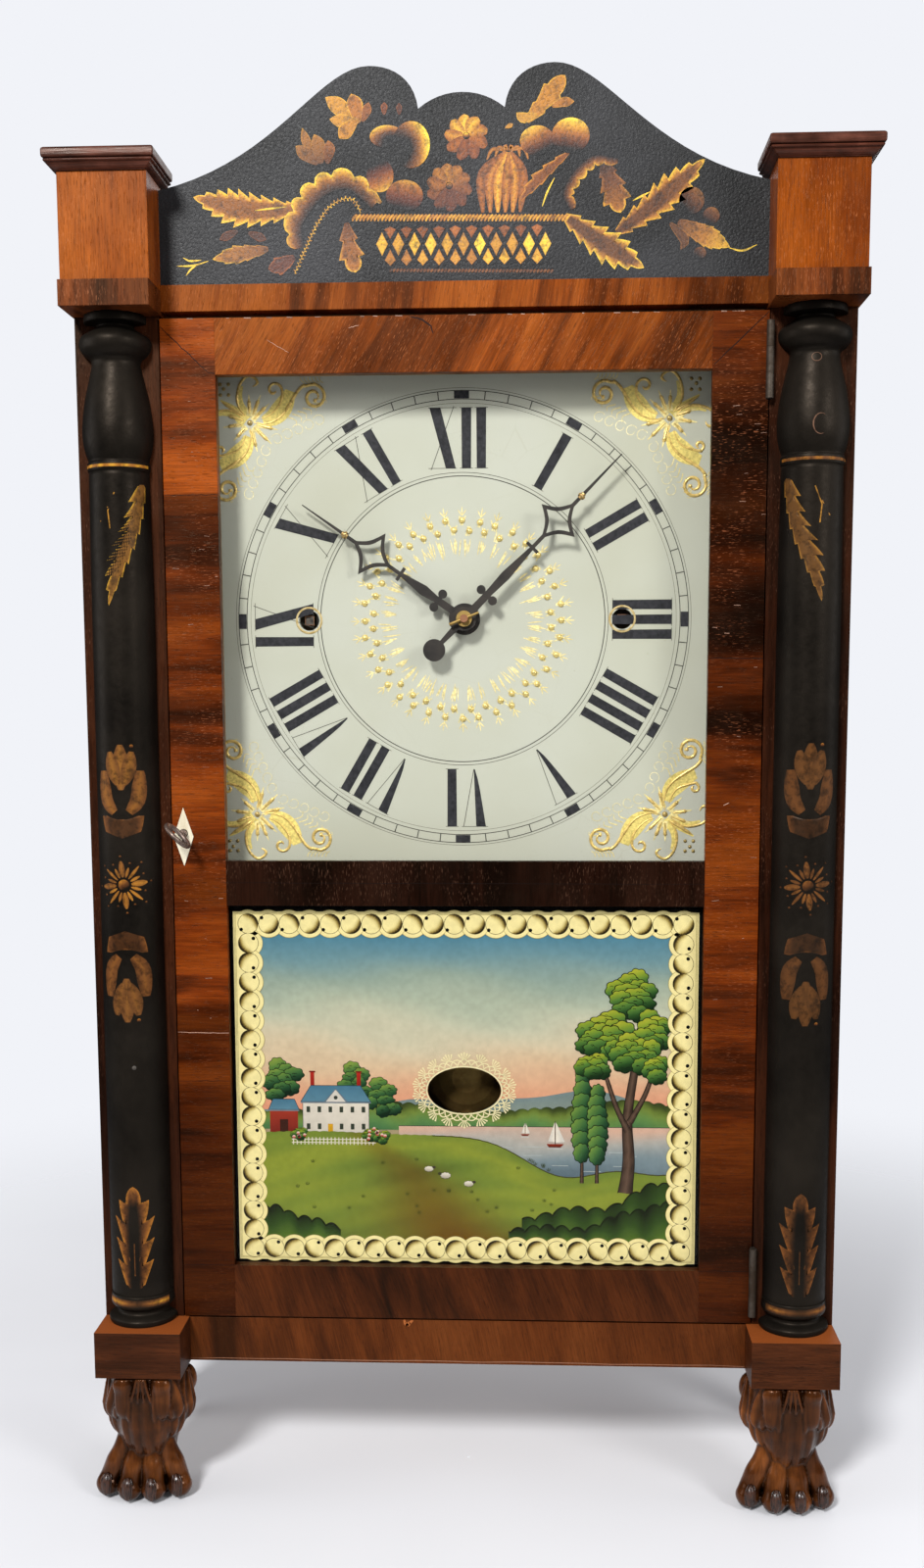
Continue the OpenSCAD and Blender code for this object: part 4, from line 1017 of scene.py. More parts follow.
# Each leaf: its rib, its width, then as many of the settings below as differ from leaf's own
LEAF_SETTINGS = ("teeth", "depth", "core", "bright", "warm", "fade", "rim", "fat", "sides")
LEAVES = (
    ([(-91, 753.6), (-122.1, 754.6), (-150.7, 761.6)], 26, 9, 0.42, 0.4, 1, 0.3, 0.1, 0.05),
    ([(-108.8, 733.1), (-124.9, 730.6), (-140.5, 727.9)], 12.5, 5, 0.25, 0.55, 1, 0.1, 0.45),
    ([(-94, 728.5), (-102.1, 724.2), (-109, 722.1)], 12, 3, 0.2, 0.4, 0.5, 0.9),
    ([(-64.5, 746.5), (-62.9, 733.4), (-59.7, 719.6)], 19, 3, 0.5, 0.55, 0.95, 0.3, 0.55, 0.2, 1.1),
    ([(-45, 756.6), (-49.5, 761.5), (-54, 770.1)], 6, 0, 0, 0.6, 0.9),
    ([(-57.6, 800.5), (-65.5, 806.5), (-75.5, 813.4)], 10.5, 0, 0, 0.75, 0.85, 0.3),
    ([(-57.6, 799), (-58.7, 806.9), (-61.1, 814.9)], 10.5, 0, 0, 0.6, 0.85, 0.4),
    ([(-55.3, 800), (-53, 804.7), (-51.4, 810.2)], 6, 0, 0, 0.6, 0.6, 0.6),
    ([(-57, 800.5), (-66.7, 800.7), (-73.4, 801.7)], 8, 0, 0, 0.75, 0.85, 0.3),
    ([(-58, 801), (-63.3, 796.3), (-68.1, 791.4)], 9.5, 0, 0, 0.7, 0.85, 0.4),
    ([(-42.9, 803.4), (-42.8, 810)], 4.2, 0, 0, 0.5, 0.55, 0.9),
    ([(-34.4, 803.3), (-34.6, 809.4)], 3.6, 0, 0, 0.4, 0.4, 0.9),
    ([(-81.7, 780.5), (-86.1, 789.2), (-88.7, 797.4)], 6, 0, 0, 0.7, 0.75, 0, 0.5),
    ([(-78.3, 778), (-79.9, 788), (-82.1, 793.9)], 9, 0, 0, 0.7, 0.7, 0, 0.5),
    ([(-74.9, 778), (-73.7, 785.7), (-74.3, 790.5)], 7.5, 0, 0, 0.7, 0.6, 0.4, 0.5),
    ([(-80, 778), (-87.3, 783.8), (-92.5, 787.9)], 8.5, 0, 0, 0.7, 0.65, 0, 0.5),
    ([(-125.8, 743.2), (-136.3, 738.4)], 5.5, 0, 0, 0.4, 0.35, 0.6),
    ([(-120.1, 742), (-109.8, 738)], 5.5, 0, 0, 0.4, 0.35, 0.6),
    ([(36.1, 798.2), (45.8, 808.8), (57.3, 822.3)], 15.5, 3, 0.35, 0.68, 0.85, 0.35, 0, 0.5, 1.1),
    ([(50, 806), (56, 808.1), (62.4, 808.5)], 6, 0, 0, 0.7, 0.75, 0.3),
    ([(42, 802), (34.4, 800.4), (30.4, 803.2)], 6.5, 0, 0, 0.7, 0.85),
    ([(59.5, 781.5), (45.9, 769.7), (31.6, 755.7)], 13, 5, 0.4, 0.45, 0.72, 0.55, 0, 0.2, 0.9, (0.5, 1)),
    ([(78.3, 777), (83.6, 763.6), (88.3, 749.3)], 21, 4, 0.42, 0.5, 0.95, 0.25, 0.8, 0.2, 1.05),
    ([(86, 738.6), (107.4, 753.7), (134.4, 776.9)], 24, 8, 0.45, 0.3, 1, 0.15, 0.3, 0.1),
    ([(120, 744), (133.1, 737.5), (148.8, 730)], 14, 7, 0.15, 0.75, 1, 0, 0.7, 0.1),
    ([(115.6, 743.4), (123.7, 734.5), (121.5, 729)], 6.5, 0, 0, 0.45, 0.42),
    ([(57, 748.3), (78.2, 733.4), (101.5, 719.6)], 25, 7, 0.45, 0.26, 1, 0, 0.2, 0.15),
    ([(24.2, 795.2), (28.6, 797.2)], 3, 0, 0, 0.8, 0.7),
)
# Each fruit: its place, its half width and height, the light's angle, brightness, warmth and sweep
FRUITS = (
    (-45.5, 771.2, 7.6, 8.8, -70, 0.72, 0.9),
    (-31.9, 760.2, 10.4, 8.6, 75, 0.62, 1.0),
    (-41.5, 792, 9.5, 6, 120, 0.85, 0.4, 0.5),
    (-28, 787.4, 10.5, 12.5, 20, 1.08, 0.2, 0.55),
    (41.9, 788.3, 9.5, 8, 120, 0.85, 0.5),
    (60.4, 790.6, 10.5, 9.5, 80, 0.95, 0.5),
    (127.4, 755.2, 7, 7.2, 45, 0.38, 0.3),
    (138.3, 746.9, 4.6, 4.6, 60, 0.36, 0.3),
    (132.4, 727.2, 3.4, 3.2, 60, 0.3, 0.2),
)
CURL_LEFT = [(-88.5, 733.5), (-89.7, 743.7), (-85.6, 751.3), (-78.6, 759.3), (-70.6, 763.5), (-63.7, 764),
             (-58.1, 760.6), (-50.7, 753.6)]
CURL_RIGHT = [(60.4, 750.9), (56.4, 758.6), (58.5, 766.2), (65.3, 774.8), (74.3, 780.1), (86.8, 778)]
FROND = [(-94.1, 719.7), (-86.4, 735.5), (-81.7, 744.7), (-74.1, 754.9), (-64.9, 759.4), (-59.3, 757.4),
         (-56.5, 751.4)]
TENDRILS = (
    [(-142.9, 727), (-151.6, 724.7), (-160.8, 724.5)], [(-146.9, 727.6), (-153.2, 727.2), (-157.2, 729)],
    [(-148.7, 725.5), (-152.8, 722.8), (-155.8, 719.3)], [(148.3, 729.7), (155.7, 728), (163.8, 731.1)],
    [(60.9, 742.5), (68.9, 738.1), (77.5, 729.7)], [(95, 755.6), (104.6, 760.2)],
    [(44.8, 753.3), (47.6, 761), (51.6, 768.5)], [(-116, 753.8), (-98, 755.6)])


def curl(batch, place, path, width, lobes, bright, warm, outside=1):
    """An arching leaf seen from its side: lobed gold back, dark hollow."""
    n = lobes * 6
    rib, run, out = spine(path, n + 1)
    steps = (1.0, 0.82, 0.6, 0.35, 0.0)
    rows, paint = np.zeros((n + 1, len(steps), 2)), np.zeros((n + 1, len(steps), 3))
    for i in range(n + 1):
        t = i / n
        swell = 0.35 + 0.65 * math.sin(PI * min(1, 0.1 + 0.85 * t)) ** 0.7
        lobe = 1 - 0.3 * (1 - abs(math.sin(PI * t * lobes)) ** 0.6)
        for j, w in enumerate(steps):
            rows[i, j] = rib[i] + out[i] * outside * width * swell * w * (lobe if w > 0.5 else 0.85)
            level = bright * w ** 1.5 * (0.55 + 0.45 * math.sin(PI * t) ** 0.5)
            paint[i, j] = bronze(level, warm * (1 - w * 0.6))
    batch.grid(place(rows[..., 0], rows[..., 1], batch.rise()), paint)


def stencil_splat():
    batch, rng = Batch(), np.random.default_rng(11)
    place = face_on(SPLAT_FRONT - 0.02)
    for path, width, *settings in LEAVES:
        leaf(batch, place, path, width, **dict(zip(LEAF_SETTINGS, settings)))
    curl(batch, place, CURL_LEFT, 12.5, 8, 0.98, 0.3)
    curl(batch, place, CURL_RIGHT, 7.0, 7, 0.85, 0.4, -1)
    scatter(batch, place, FROND, 1.1, 0.8, 0.95, 1.5, rng, 0.5)
    for path in TENDRILS:
        rib = resample(smooth_line(path, 6), 12)
        ribbon(batch, place, rib, bulging(0.25, 0.8), bronze(0.9), batch.rise())
    for spot in FRUITS:
        fruit(batch, place, *spot)
    melon(batch, place, 2.7, 791.5, 12, 0.85)
    melon(batch, place, -7, 765.2, 12.5, 0.55, 10)
    for k in range(6):
        spread = (k - 2.5) * 4.6
        petal(batch, place, [(26 + spread * 0.14, 782.5), (22.8 + spread, 768 + abs(spread) * 0.25),
                             (22.2 + spread * 0.9, 750.5)], 5.0, (0.5, 0.62, 0.85, 0.62, 0.7, 0.5)[k], 0.6)
        petal(batch, place, [(26 + spread * 0.2, 783.4), (26 + spread * 0.75, 786.5 - abs(spread) * 0.2),
                             (25.5 + spread, 782 - abs(spread) * 0.3)], 2.0, 0.6, 0.4)
    for k in range(11):
        u = -44.7 + 9.13 * k
        tone = rng.uniform(0.62, 1.0)
        diamond(batch, place, u, 734.6 - 0.012 * (u + 44.7), 3.35, 6.4, 6.4, tone, 0.7 * (1 - tone))
        if k < 10:
            diamond(batch, place, u + 4.56, 725.9, 3.1, 5.9, 3.2, rng.uniform(0.55, 0.9), 0.4)
            diamond(batch, place, u + 4.56, 742.4, 3.3, 1.6, 5.2, rng.uniform(0.35, 0.55), 0.8)
    rope(batch, place, (-60.4, 749.0), (60.8, 747.0), 2.05, 3.6, 0.8, rng)
    rope(batch, place, (-40, 720.4), (52, 718.6), 1.9, 1.7, 0.34, rng)
    black = ebonised("ebonised_splat", 620, 0.36, 0.00045, ((0.010, 0.010, 0.010), (0.026, 0.026, 0.028)),
                     0.25, (1, 1, 1, 1))
    batch.piece("splat_stencil", black, "case", "ebonised_wood", smooth=False)
    dress(black, "splat")


# Half columns with their turned capitals

COLUMN_STEPS = (
    (20.2, 0), (20.6, 1.4), (20.4, 3.2), (18.6, 4.8), (16.2, 6), (15.6, 7.6), (16.4, 9.2), (18.4, 10.4),
    (19.15, 12.2), (19.2, 14.2), (18.7, 16.2), (18.5, 17.6), (18.75, 19), (18.6, 22), (18.5, 120),
    (18.2, 300), (18.0, 419), (17.3, 500), (17.2, 502), (17.8, 503), (18.0, 505), (17.8, 507.3),
    (17.3, 508.4), (18.4, 511.6), (19.6, 516.5), (20.15, 522), (20.1, 527.5), (19.4, 534.5), (17.9, 544),
    (16.0, 552), (14.6, 558), (13.9, 562), (14.6, 564.4), (17.6, 566.8), (19.7, 569.6), (20.4, 572.6),
    (20.2, 575), (19.0, 577), (16.6, 578.7), (13.6, 580.4), (11.2, 582), (10.6, 583.2), (12.6, 583.9),
    (17.2, 584.4), (17.6, 585.2), (17.6, 588), (17.2, 589))


COLUMN_X = 196.5
ROSETTE_Z = 375.3


def column_radius(z):
    steps = np.array(COLUMN_STEPS)
    return np.interp(z - COLUMN_LOW[2], steps[:, 1], steps[:, 0])


def on_column(side):
    """Wraps a drawing round a column: u along the surface, v height."""
    axis_x, axis_y = side * COLUMN_X, COLUMN_HIGH[1]

    def place(u, v, h=0.0):
        bare = column_radius(np.asarray(v, float))
        r, a = bare + h + 0.03, u / bare
        return np.stack([axis_x + r * np.sin(a), axis_y - r * np.cos(a), v + 0 * a], -1)
    return place


def make_columns():
    turned, stencil = Batch(), Batch()
    rng = np.random.default_rng(5)
    profile = smooth_line(COLUMN_STEPS, 4)
    profile[:, 0] = np.minimum(profile[:, 0], 20.6)
    for side in (-1, 1):
        lathe(turned, profile, (side * COLUMN_X, COLUMN_HIGH[1], COLUMN_LOW[2]), 44, PI - 0.02, 2 * PI + 0.02)
        place = on_column(side)
        worn = 0.85 if side < 0 else 0.5
        # gilt line under the bulge, and the rubbed torus at the foot
        ribbon(stencil, place, np.stack([np.linspace(-24, 24, 40), np.full(40, 613.0)], -1), 1.6,
               lambda t, c: bronze(0.62 * worn + 0.1 * math.sin(40 * t)), 0.04, 2)
        rubbed = 0.62 if side < 0 else 0.4
        ribbon(stencil, place, np.stack([np.linspace(-22, 22, 40), np.full(40, 122.6)], -1), 5,
               lambda t, c: bronze(rubbed * (1 - abs(c)) * (0.6 + 0.4 * math.sin(9 * t))), 0.05, 6)
        # drooping leaf under the capital
        leaf(stencil, place, [(-19 * side, 603), (-13 * side, 580), (-3 * side, 556), (4 * side, 535)], 20, 8,
             depth=0.5, lean=0.7, rim=0.3, core=0.45, bright=0.62 * worn + 0.1, warm=-0.6,
             sides=(1, 0.45) if side > 0 else (0.45, 1), base=0.8)
        ribbon(stencil, place, [(-1 * side, 598), (3 * side, 588), (2 * side, 578)], 0.7, bronze(0.5, -0.5),
               stencil.rise())
        ribbon(stencil, place, [(3 * side, 590), (8 * side, 582)], 0.6, bronze(0.4, -0.5), stencil.rise())
        # bud, rosette and mirrored bud
        for up in (1, -1):
            def at(u, v):
                return (u, ROSETTE_Z + up * v)
            tone = (0.4 if up > 0 else 0.34) * worn
            for u, low, high, wide in ((0, 55, 81, 9.5), (-4.8, 58, 77, 8.5), (4.8, 58, 77, 8.5)):
                petal(stencil, place, [at(u * 0.4, low), at(u, (low + high) / 2), at(u * 1.35, high)], wide,
                      tone, -0.2)
            for u in (-9.5, 9.5):
                petal(stencil, place, [at(u * 0.45, 42), at(u, 49), at(u * 1.15, 58), at(u * 1.2, 66)], 9.5,
                      tone, 0.0, ends=0.35)
            leaf(stencil, place, [at(0, 27), at(0, 33), at(0, 38)], 27, 0, depth=0, core=0.3,
                 bright=0.35 * worn, warm=0.1, base=0.8, fat=1.3)
            fruit(stencil, place, *at(6.5, 80), 1.1, 1.1, 90, 0.5)
        centre = np.array([0, ROSETTE_Z])
        for k in range(16):
            long = 14.0 if k % 2 == 0 else 10.5
            wide = 3.6 if k % 4 == 0 else 1.9
            way = heading(2 * PI * k / 16 + 0.1)
            petal(stencil, place, [centre + way * reach_out for reach_out in (4.5, long * 0.6, long)], wide,
                  rng.uniform(0.4, 0.65) * worn, -0.1)
            fruit(stencil, place, *(centre + way * (long + 2.6)), 0.7, 0.7, 90, 0.45 * worn)
        fruit(stencil, place, 0, ROSETTE_Z, 3.2, 3.2, 120, 0.62 * worn, 0.1)
        # big upright leaf near the foot
        leaf(stencil, place, [(0, 131), (0, 160), (0, 195)], 29, 5, depth=0.5, lean=0.75, rim=0.3, base=0.8,
             bright=0.55 * worn, warm=0.1, fat=0.95)
        for lean in (-5, 0, 5):
            ribbon(stencil, place, [(0, 140), (lean * 0.6, 150), (lean, 160)], 0.5, bronze(0.25 * worn),
                   stencil.rise())
    # shrinkage crack and knot on the right capital, and a nail head on the left column
    place = on_column(1)
    bend = np.radians(np.linspace(60, 290, 24))
    wood = np.array((0.10, 0.05, 0.03))
    ribbon(stencil, place, (1, 631) + (4.2, 5.5) * heading(bend),
           bulging(0.2, 0.5), wood, stencil.rise())
    bend = np.linspace(0, 2 * PI, 30)
    ribbon(stencil, place, (-1.2, 667.5) + (2.6, 2.3) * heading(bend), 0.45, wood * 0.7, stencil.rise())
    dome(stencil, on_column(-1), 3, 267, 1.3, 0.5, (0.05, 0.045, 0.04))
    black = ebonised("ebonised_columns", 240, 0.34, 0.00012)
    turned.piece("turned_columns", black, "case", "ebonised_wood", replaces=("columns",))
    stencil.piece("column_stencils", black, "case", "ebonised_wood")


stencil_splat()
make_columns()


# Carved paw feet

PAW_X, PAW_Y = 193.0, -47.0
PAW_DEEP = 0.78
PAW_CORE = ((0, 15.0), (8, 16.0), (18, 15.6), (26, 15.6), (33, 16.6), (40, 19.0), (48, 22.0), (58, 24.0),
            (68, 23.6), (80, 22.5))
TOE_SPREAD = 14.3
VOXEL = 0.00065


def core_radius(z):
    steps = np.array(PAW_CORE, float)
    return np.interp(z, steps[:, 0], steps[:, 1])


def around(phi, r, z):
    """A place near the foot's upright axis, in the foot's own frame."""
    return np.stack([r * np.cos(phi), PAW_DEEP * r * np.sin(phi), z + 0 * phi], -1)


def carved(batch, phi, z_top, z_tip, half, lift, ribs=0, lean=0.0, scallop=0.0, droop=0.0, groove=0.7):
    """A carved leaf on the core as a closed shell. half and lift are functions of 0 at its top to 1."""
    n, m = 30, 25
    c = np.linspace(-1, 1, m)
    rows = []
    for v in np.linspace(0, 1, n):
        low = z_tip + droop * np.abs(c) ** 3.2 + scallop * np.abs(np.sin(2.5 * PI * c))
        z = z_top + (low - z_top) * v
        r0 = core_radius(z)
        a = math.radians(phi + lean * v) + c * half(v) / 22.0
        crown = (1 - np.abs(c) ** 3.5) * (1 - v ** 9)
        cut = groove * (0.5 + 0.5 * np.cos(PI * ribs * c)) if ribs else 0
        top = around(a, r0 - 1.5 + crown * (lift(v) + 1.5 - cut), z)
        under = around(a, r0 - 6 + 0 * c, z)
        ring = np.concatenate([top, under[::-1]])
        if v in (0, 1):
            ring = ring.mean(0) + (ring - ring.mean(0)) * 0.02
        rows.append(ring)
    batch.grid(rows, closed=True)


def capped_tube(batch, path, radius, sides=18, flat=1.0):
    tube(batch, path, lambda t: max(0.02, radius(t)), sides=sides, flat=flat)


def knob(t, at, high):
    return high * math.exp(-((t - at) / 0.09) ** 2)


def paw(batch, claws, side, shift):
    """One foot in its own frame; the inner side is +x for the left foot."""
    steps = np.linspace(0, 80, 41)
    a = whole_turn(48)
    rows = [around(a, max(0.1, core_radius(z) * (0.02 if z in (0, 80) else 1)) + 0 * a, z) for z in steps]
    batch.grid(rows, closed=True)
    # broad ribbed leaf in front, and the same behind
    for phi, reach_down in ((-90, 27.0), (90, 30.0)):
        carved(batch, phi + 3 * side, 80, reach_down, lambda v: 12 + 10 * v ** 0.5,
               lambda v: 2.6 + 4.4 * v ** 1.5, ribs=6, scallop=-2.4, droop=9.5, groove=1.1)
    # second tier beside it
    for phi in (-148, -32, 32, 148):
        carved(batch, phi, 60, 36.5, lambda v: 3 + 8 * math.sin(PI * min(1, 0.2 + 0.65 * v)),
               lambda v: 2.6 + 1.8 * v, ribs=4, droop=5, scallop=1.0, groove=1.3)
    # outer leaves hang over it, ribbed, with a flared tip
    for phi, lean in ((180, 6), (0, -6), (-128, -10), (-52, 10), (128, 10), (52, -10)):
        sides_only = phi in (0, 180)
        carved(batch, phi, 79, 45 if sides_only else 49,
               lambda v: 2.2 + 9.2 * math.sin(PI * min(1, 0.1 + 0.78 * v)) ** 0.9,
               lambda v: 2.4 + 5.2 * v ** 1.6, ribs=4 if sides_only else 3, lean=lean, droop=9, groove=1.8)
    # hoods with a hanging tongue, either side of the middle
    for phi in (-117, -63, 117, 63):
        carved(batch, phi, 80, 50, lambda v: 6.4 * math.sin(PI * min(1, 0.22 + 0.66 * v)) ** 0.6,
               lambda v: 5.6 + 2.6 * math.exp(-((v - 0.16) / 0.14) ** 2), droop=7)
        carved(batch, phi + (10 if phi in (-117, 63) else -10), 77, 47,
               lambda v: 1.8 * math.sin(PI * min(1, 0.2 + 0.7 * v)) + 0.5, lambda v: 4.6, droop=4)
    # short fan between the hoods
    for lean in (-9, -3, 3, 9):
        carved(batch, -90 + lean * 0.5, 80, 62, lambda v: 1.5 * (1 - 0.5 * v), lambda v: 4.8, lean=lean,
               droop=3)
    # scroll on the inner side, behind the block
    t = np.linspace(0, 1, 40)
    turn = 1.5 * PI + 3.2 * PI * t
    roll = 7.5 * (1 - 0.72 * t)
    path = np.stack([-side * (20.5 + 0.7 * roll * np.cos(turn)), 6 + 5 * t, 69 + roll * np.sin(turn)], -1)
    capped_tube(batch, path, lambda v: 2.9 - 0.9 * v, flat=1.6)
    # four toes with two knuckles each, and their claws
    for i in (-1.5, -0.5, 0.5, 1.5):
        u, back = shift + i * TOE_SPREAD, (0 if abs(i) < 1 else 6.0)
        line = smooth_line([(u * 0.52, -4.5, 42), (u * 0.60, -7.5 + back * 0.2, 33),
                            (u * 0.75, -9.5 + back * 0.5, 23), (u * 0.93, -12.5 + back, 13.5),
                            (u, -14.0 + back, 8.2), (u * 1.01, -14.6 + back, 4.4),
                            (u * 1.01, -14.8 + back, 0.4)], 8)
        capped_tube(batch, line, lambda v: min(1, 1.02 - v ** 12) * (
            5.0 + 2.8 * v ** 0.8 + knob(v, 0.36, 0.9) + knob(v, 0.68, 0.8)), sides=22)
        nail = smooth_line([(u * 0.97, -19.4 + back, 16.4), (u * 1.0, -21.2 + back, 12.8),
                            (u * 1.01, -21.9 + back, 8.0), (u * 1.02, -21.6 + back, 3.4)], 5)
        tube(claws, nail, lambda v: max(0.02, 2.7 * math.sin(PI * (0.04 + 0.92 * v)) ** 0.6), sides=14,
             flat=0.5, up=(0, -1, 0.3))
        out = np.sin(PI * np.linspace(0.1, 0.9, len(nail)))[:, None] ** 0.5
        for rim in (-1, 1):
            edge = nail + np.array([rim * 2.7, 0.7, 0]) * out
            tube(claws, edge, lambda v: max(0.02, 0.75 * math.sin(PI * v) ** 0.5), sides=8)


def make_feet():
    look = Look("carved_wood", Specular_IOR_Level=0.27, Specular_Tint=(1, 0.6, 0.42, 1))
    point = look.add("ShaderNodeNewGeometry").outputs["Pointiness"]
    hollow = look.add("ShaderNodeAmbientOcclusion", {"Distance": 0.007}, samples=6).outputs["AO"]
    fibre = look.noise(along("z", 500, 28), 3.0, 0.65)
    cloud = look.noise(28, 3.0, 0.6)
    body = look.ramp(cloud, [(0.3, (0.016, 0.005, 0.0015)), (0.5, (0.042, 0.012, 0.003)),
                             (0.68, (0.120, 0.036, 0.008))])
    body = look.tone(body, look.span(fibre, 0.25, 0.75, 0.7, 1.25))
    # Pointiness darkens the carving's crevices, painted shade, and lightens its raised edges, wear; the
    # ambient occlusion darkens the recesses further, painted shade.
    body = look.tone(body, look.span(point, 0.47, 0.54, 0.35, 1.6))
    body = look.tone(body, look.span(hollow, 0.3, 0.95, 0.12, 1.05))
    look.colour(body)
    look.roughness(look.span(cloud, 0.2, 0.8, 0.12, 0.26))
    look.bump(fibre, 0.00008)
    raw, claws = Batch(), Batch()
    for side, shift in ((-1, -2.6), (1, -1.4)):
        foot, nails = Batch(), Batch()
        paw(foot, nails, side, shift)
        for part, whole in ((foot, raw), (nails, claws)):
            points = np.concatenate(part.points) + (side * PAW_X, PAW_Y, 0)
            points[:, 1] = np.maximum(points[:, 1], DEEPEST_TOE)
            points[:, 2] = np.clip(points[:, 2], 0, PAW_TOP)
            whole.add(points, part.faces)
    rough = raw.piece("paw_rough", look.material, "case", "carved_mahogany")
    shrink = rough.modifiers.new("join", "REMESH")
    shrink.mode, shrink.voxel_size, shrink.use_smooth_shade = "VOXEL", VOXEL, True
    soften = rough.modifiers.new("soften", "SMOOTH")
    soften.factor, soften.iterations = 0.5, 1
    depsgraph = bpy.context.evaluated_depsgraph_get()
    depsgraph.update()
    mesh = bpy.data.meshes.new_from_object(rough.evaluated_get(depsgraph))
    bpy.data.objects.remove(rough)
    mesh.name = "carved_paw_feet"
    mesh.materials.clear()
    mesh.materials.append(look.material)
    places = np.empty(len(mesh.vertices) * 3, np.float32)
    mesh.vertices.foreach_get("co", places)
    places = places.reshape(-1, 3)
    places[:, 2] = np.clip(places[:, 2], 0, PAW_TOP * MM)
    mesh.vertices.foreach_set("co", places.ravel())
    mesh.polygons.foreach_set("use_smooth", [True] * len(mesh.polygons))
    mesh.update()
    feet = into_scene("carved_paw_feet", mesh)
    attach(feet, "case")
    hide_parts("front_feet")
    horn = Look("claw_wood", Specular_IOR_Level=0.4)
    shade = horn.noise(along("z", 900, 200), 2.0)
    horn.colour(horn.ramp(shade, [(0.35, (0.012, 0.005, 0.003)), (0.65, (0.045, 0.016, 0.008))]))
    horn.roughness(horn.span(shade, 0.3, 0.7, 0.22, 0.4))
    horn.bump(shade, 0.0002)
    claws.piece("paw_claws", horn.material, "case", "carved_mahogany")


PAW_TOP = reach("front_feet")[1][2]
DEEPEST_TOE = -70.5
make_feet()


# Painted tablet: a plain lake landscape in a border of shaded balls, round a clear oval

OVAL = (-0.5, 248.7, 22.0, 14.0)
TABLET_EDGE = (-140, 141, 140, 361)
PAINT_STEP = 0.0012
CREAM = (250, 240, 172)


def hue(r, g, b):
    """Linear colour from display values of 0 to 255."""
    return np.array([(v / 255) ** 2.2 for v in (r, g, b)])


def blend_hue(t, *hues):
    """Colour at t from 0 to 1 along evenly spaced display colours."""
    at = min(max(t, 0.0), 1.0) * (len(hues) - 1)
    i = min(int(at), len(hues) - 2)
    return hue(*hues[i]) * (1 - at + i) + hue(*hues[i + 1]) * (at - i)


class Picture(Batch):
    """Paint behind the glass. Each new layer lies a little nearer to the viewer."""

    def __init__(self, y):
        super().__init__()
        self.back, self.depth = y, 0

    def place(self, new=True):
        self.depth += new
        return face_on(self.back - PAINT_STEP * self.depth)

    def lay(self, rows, paint, closed=False, new=True):
        rows = np.asarray(rows, float)
        self.grid(self.place(new)(rows[..., 0], rows[..., 1]), paint, closed=closed)

    def band(self, x0, x1, top, low, paint, n=90, m=9):
        """Ground between two lines; paint is a function of x and of 0 at the top to 1 at the foot."""
        x, t = np.linspace(x0, x1, n), np.linspace(0, 1, m)
        high, foot = np.array([top(v) for v in x]), np.array([low(v) for v in x])
        rows = np.stack([np.tile(x, (m, 1)), high + (foot - high) * t[:, None]], -1)
        self.lay(rows, np.array([[paint(a, b) for a in x] for b in t]))

    def line(self, path, width, colour, new=True):
        ribbon(self, self.place(new), path, width, hue(*colour))

    def panel(self, low_left, low_right, high_left, high_right, colour, shade=None, new=True):
        paint = np.array([[hue(*(shade or colour))] * 2, [hue(*colour)] * 2])
        self.lay([[low_left, low_right], [high_left, high_right]], paint, new=new)

    def box(self, x0, z0, x1, z1, colour, shade=None, new=True):
        self.panel((x0, z0), (x1, z0), (x0, z1), (x1, z1), colour, shade, new)

    def blob(self, u, v, ru, rv, paint, lobes=8, bump=0.12, rim=None, phase=0.0, new=True):
        """A round scalloped shape; paint is a function of place from -1 to 1 across and up."""
        a = whole_turn(max(20, lobes * 7))
        edge = 1 + bump * (np.abs(np.sin(lobes * a / 2 + phase)) - 0.6)
        rows, colour = [], []
        for k in (1.0, 0.93, 0.91, 0.72, 0.45, 0.01):
            p, q = k * edge * np.cos(a), k * edge * np.sin(a)
            rows.append(np.stack([u + ru * p, v + rv * q], -1))
            colour.append([rim if rim is not None and k > 0.92 else paint(x, z) for x, z in zip(p, q)])
        self.lay(rows, np.array(colour), closed=True, new=new)

    def open_oval(self):
        """Clears the paint from the oval and snaps its edge to the oval's line."""
        points = np.concatenate(self.points)
        offset = (points[:, [0, 2]] - OVAL[:2]) / OVAL[2:]
        q = np.linalg.norm(offset, axis=1)
        inside = q < 1
        self.faces = [face for face in self.faces if not all(inside[list(face)])]
        points[inside, 0] = OVAL[0] + offset[inside, 0] / np.maximum(q[inside], 1e-6) * OVAL[2]
        points[inside, 2] = OVAL[1] + offset[inside, 1] / np.maximum(q[inside], 1e-6) * OVAL[3]
        self.points = [points]


def mound(base, *bumps):
    """A skyline: bumps are (centre, half width, height)."""
    return lambda x: base + sum(h * math.exp(-((x - c) / w) ** 2) for c, w, h in bumps)


def scalloped(line, pitch, high):
    return lambda x: line(x) + high * abs(math.sin(PI * x / pitch)) ** 0.7


def crown(pic, u, v, ru, rv, count, size, rng, greens):
    """The leaves of a tree, cluster by cluster from the top down."""
    spots = []
    for k in range(count):
        q, a = math.sqrt((k + 0.5) / count), k * 2.39996
        spots.append((u + ru * q * math.cos(a), v + rv * q * math.sin(a)))
    for x, z in sorted(spots, key=lambda spot: -spot[1]):
        lift = (z - v) / rv * 0.22 + rng.uniform(-0.12, 0.12)
        pic.blob(x, z, size * rng.uniform(0.9, 1.25), size * rng.uniform(0.72, 0.95),
                 lambda p, q: blend_hue(0.42 + 0.45 * q - 0.18 * p + lift, *greens), int(rng.integers(7, 10)),
                 0.16, hue(*LEAF_EDGE), rng.uniform(0, 3))
        for j in range(4):
            a, b = x + rng.uniform(-0.6, 0.6) * size, z + rng.uniform(-0.45, 0.4) * size
            t = np.linspace(0.2, 2.9, 6)
            pic.line((a, b) + (0.9, 0.7) * heading(t), 0.32, LEAF_EDGE, new=j == 0)


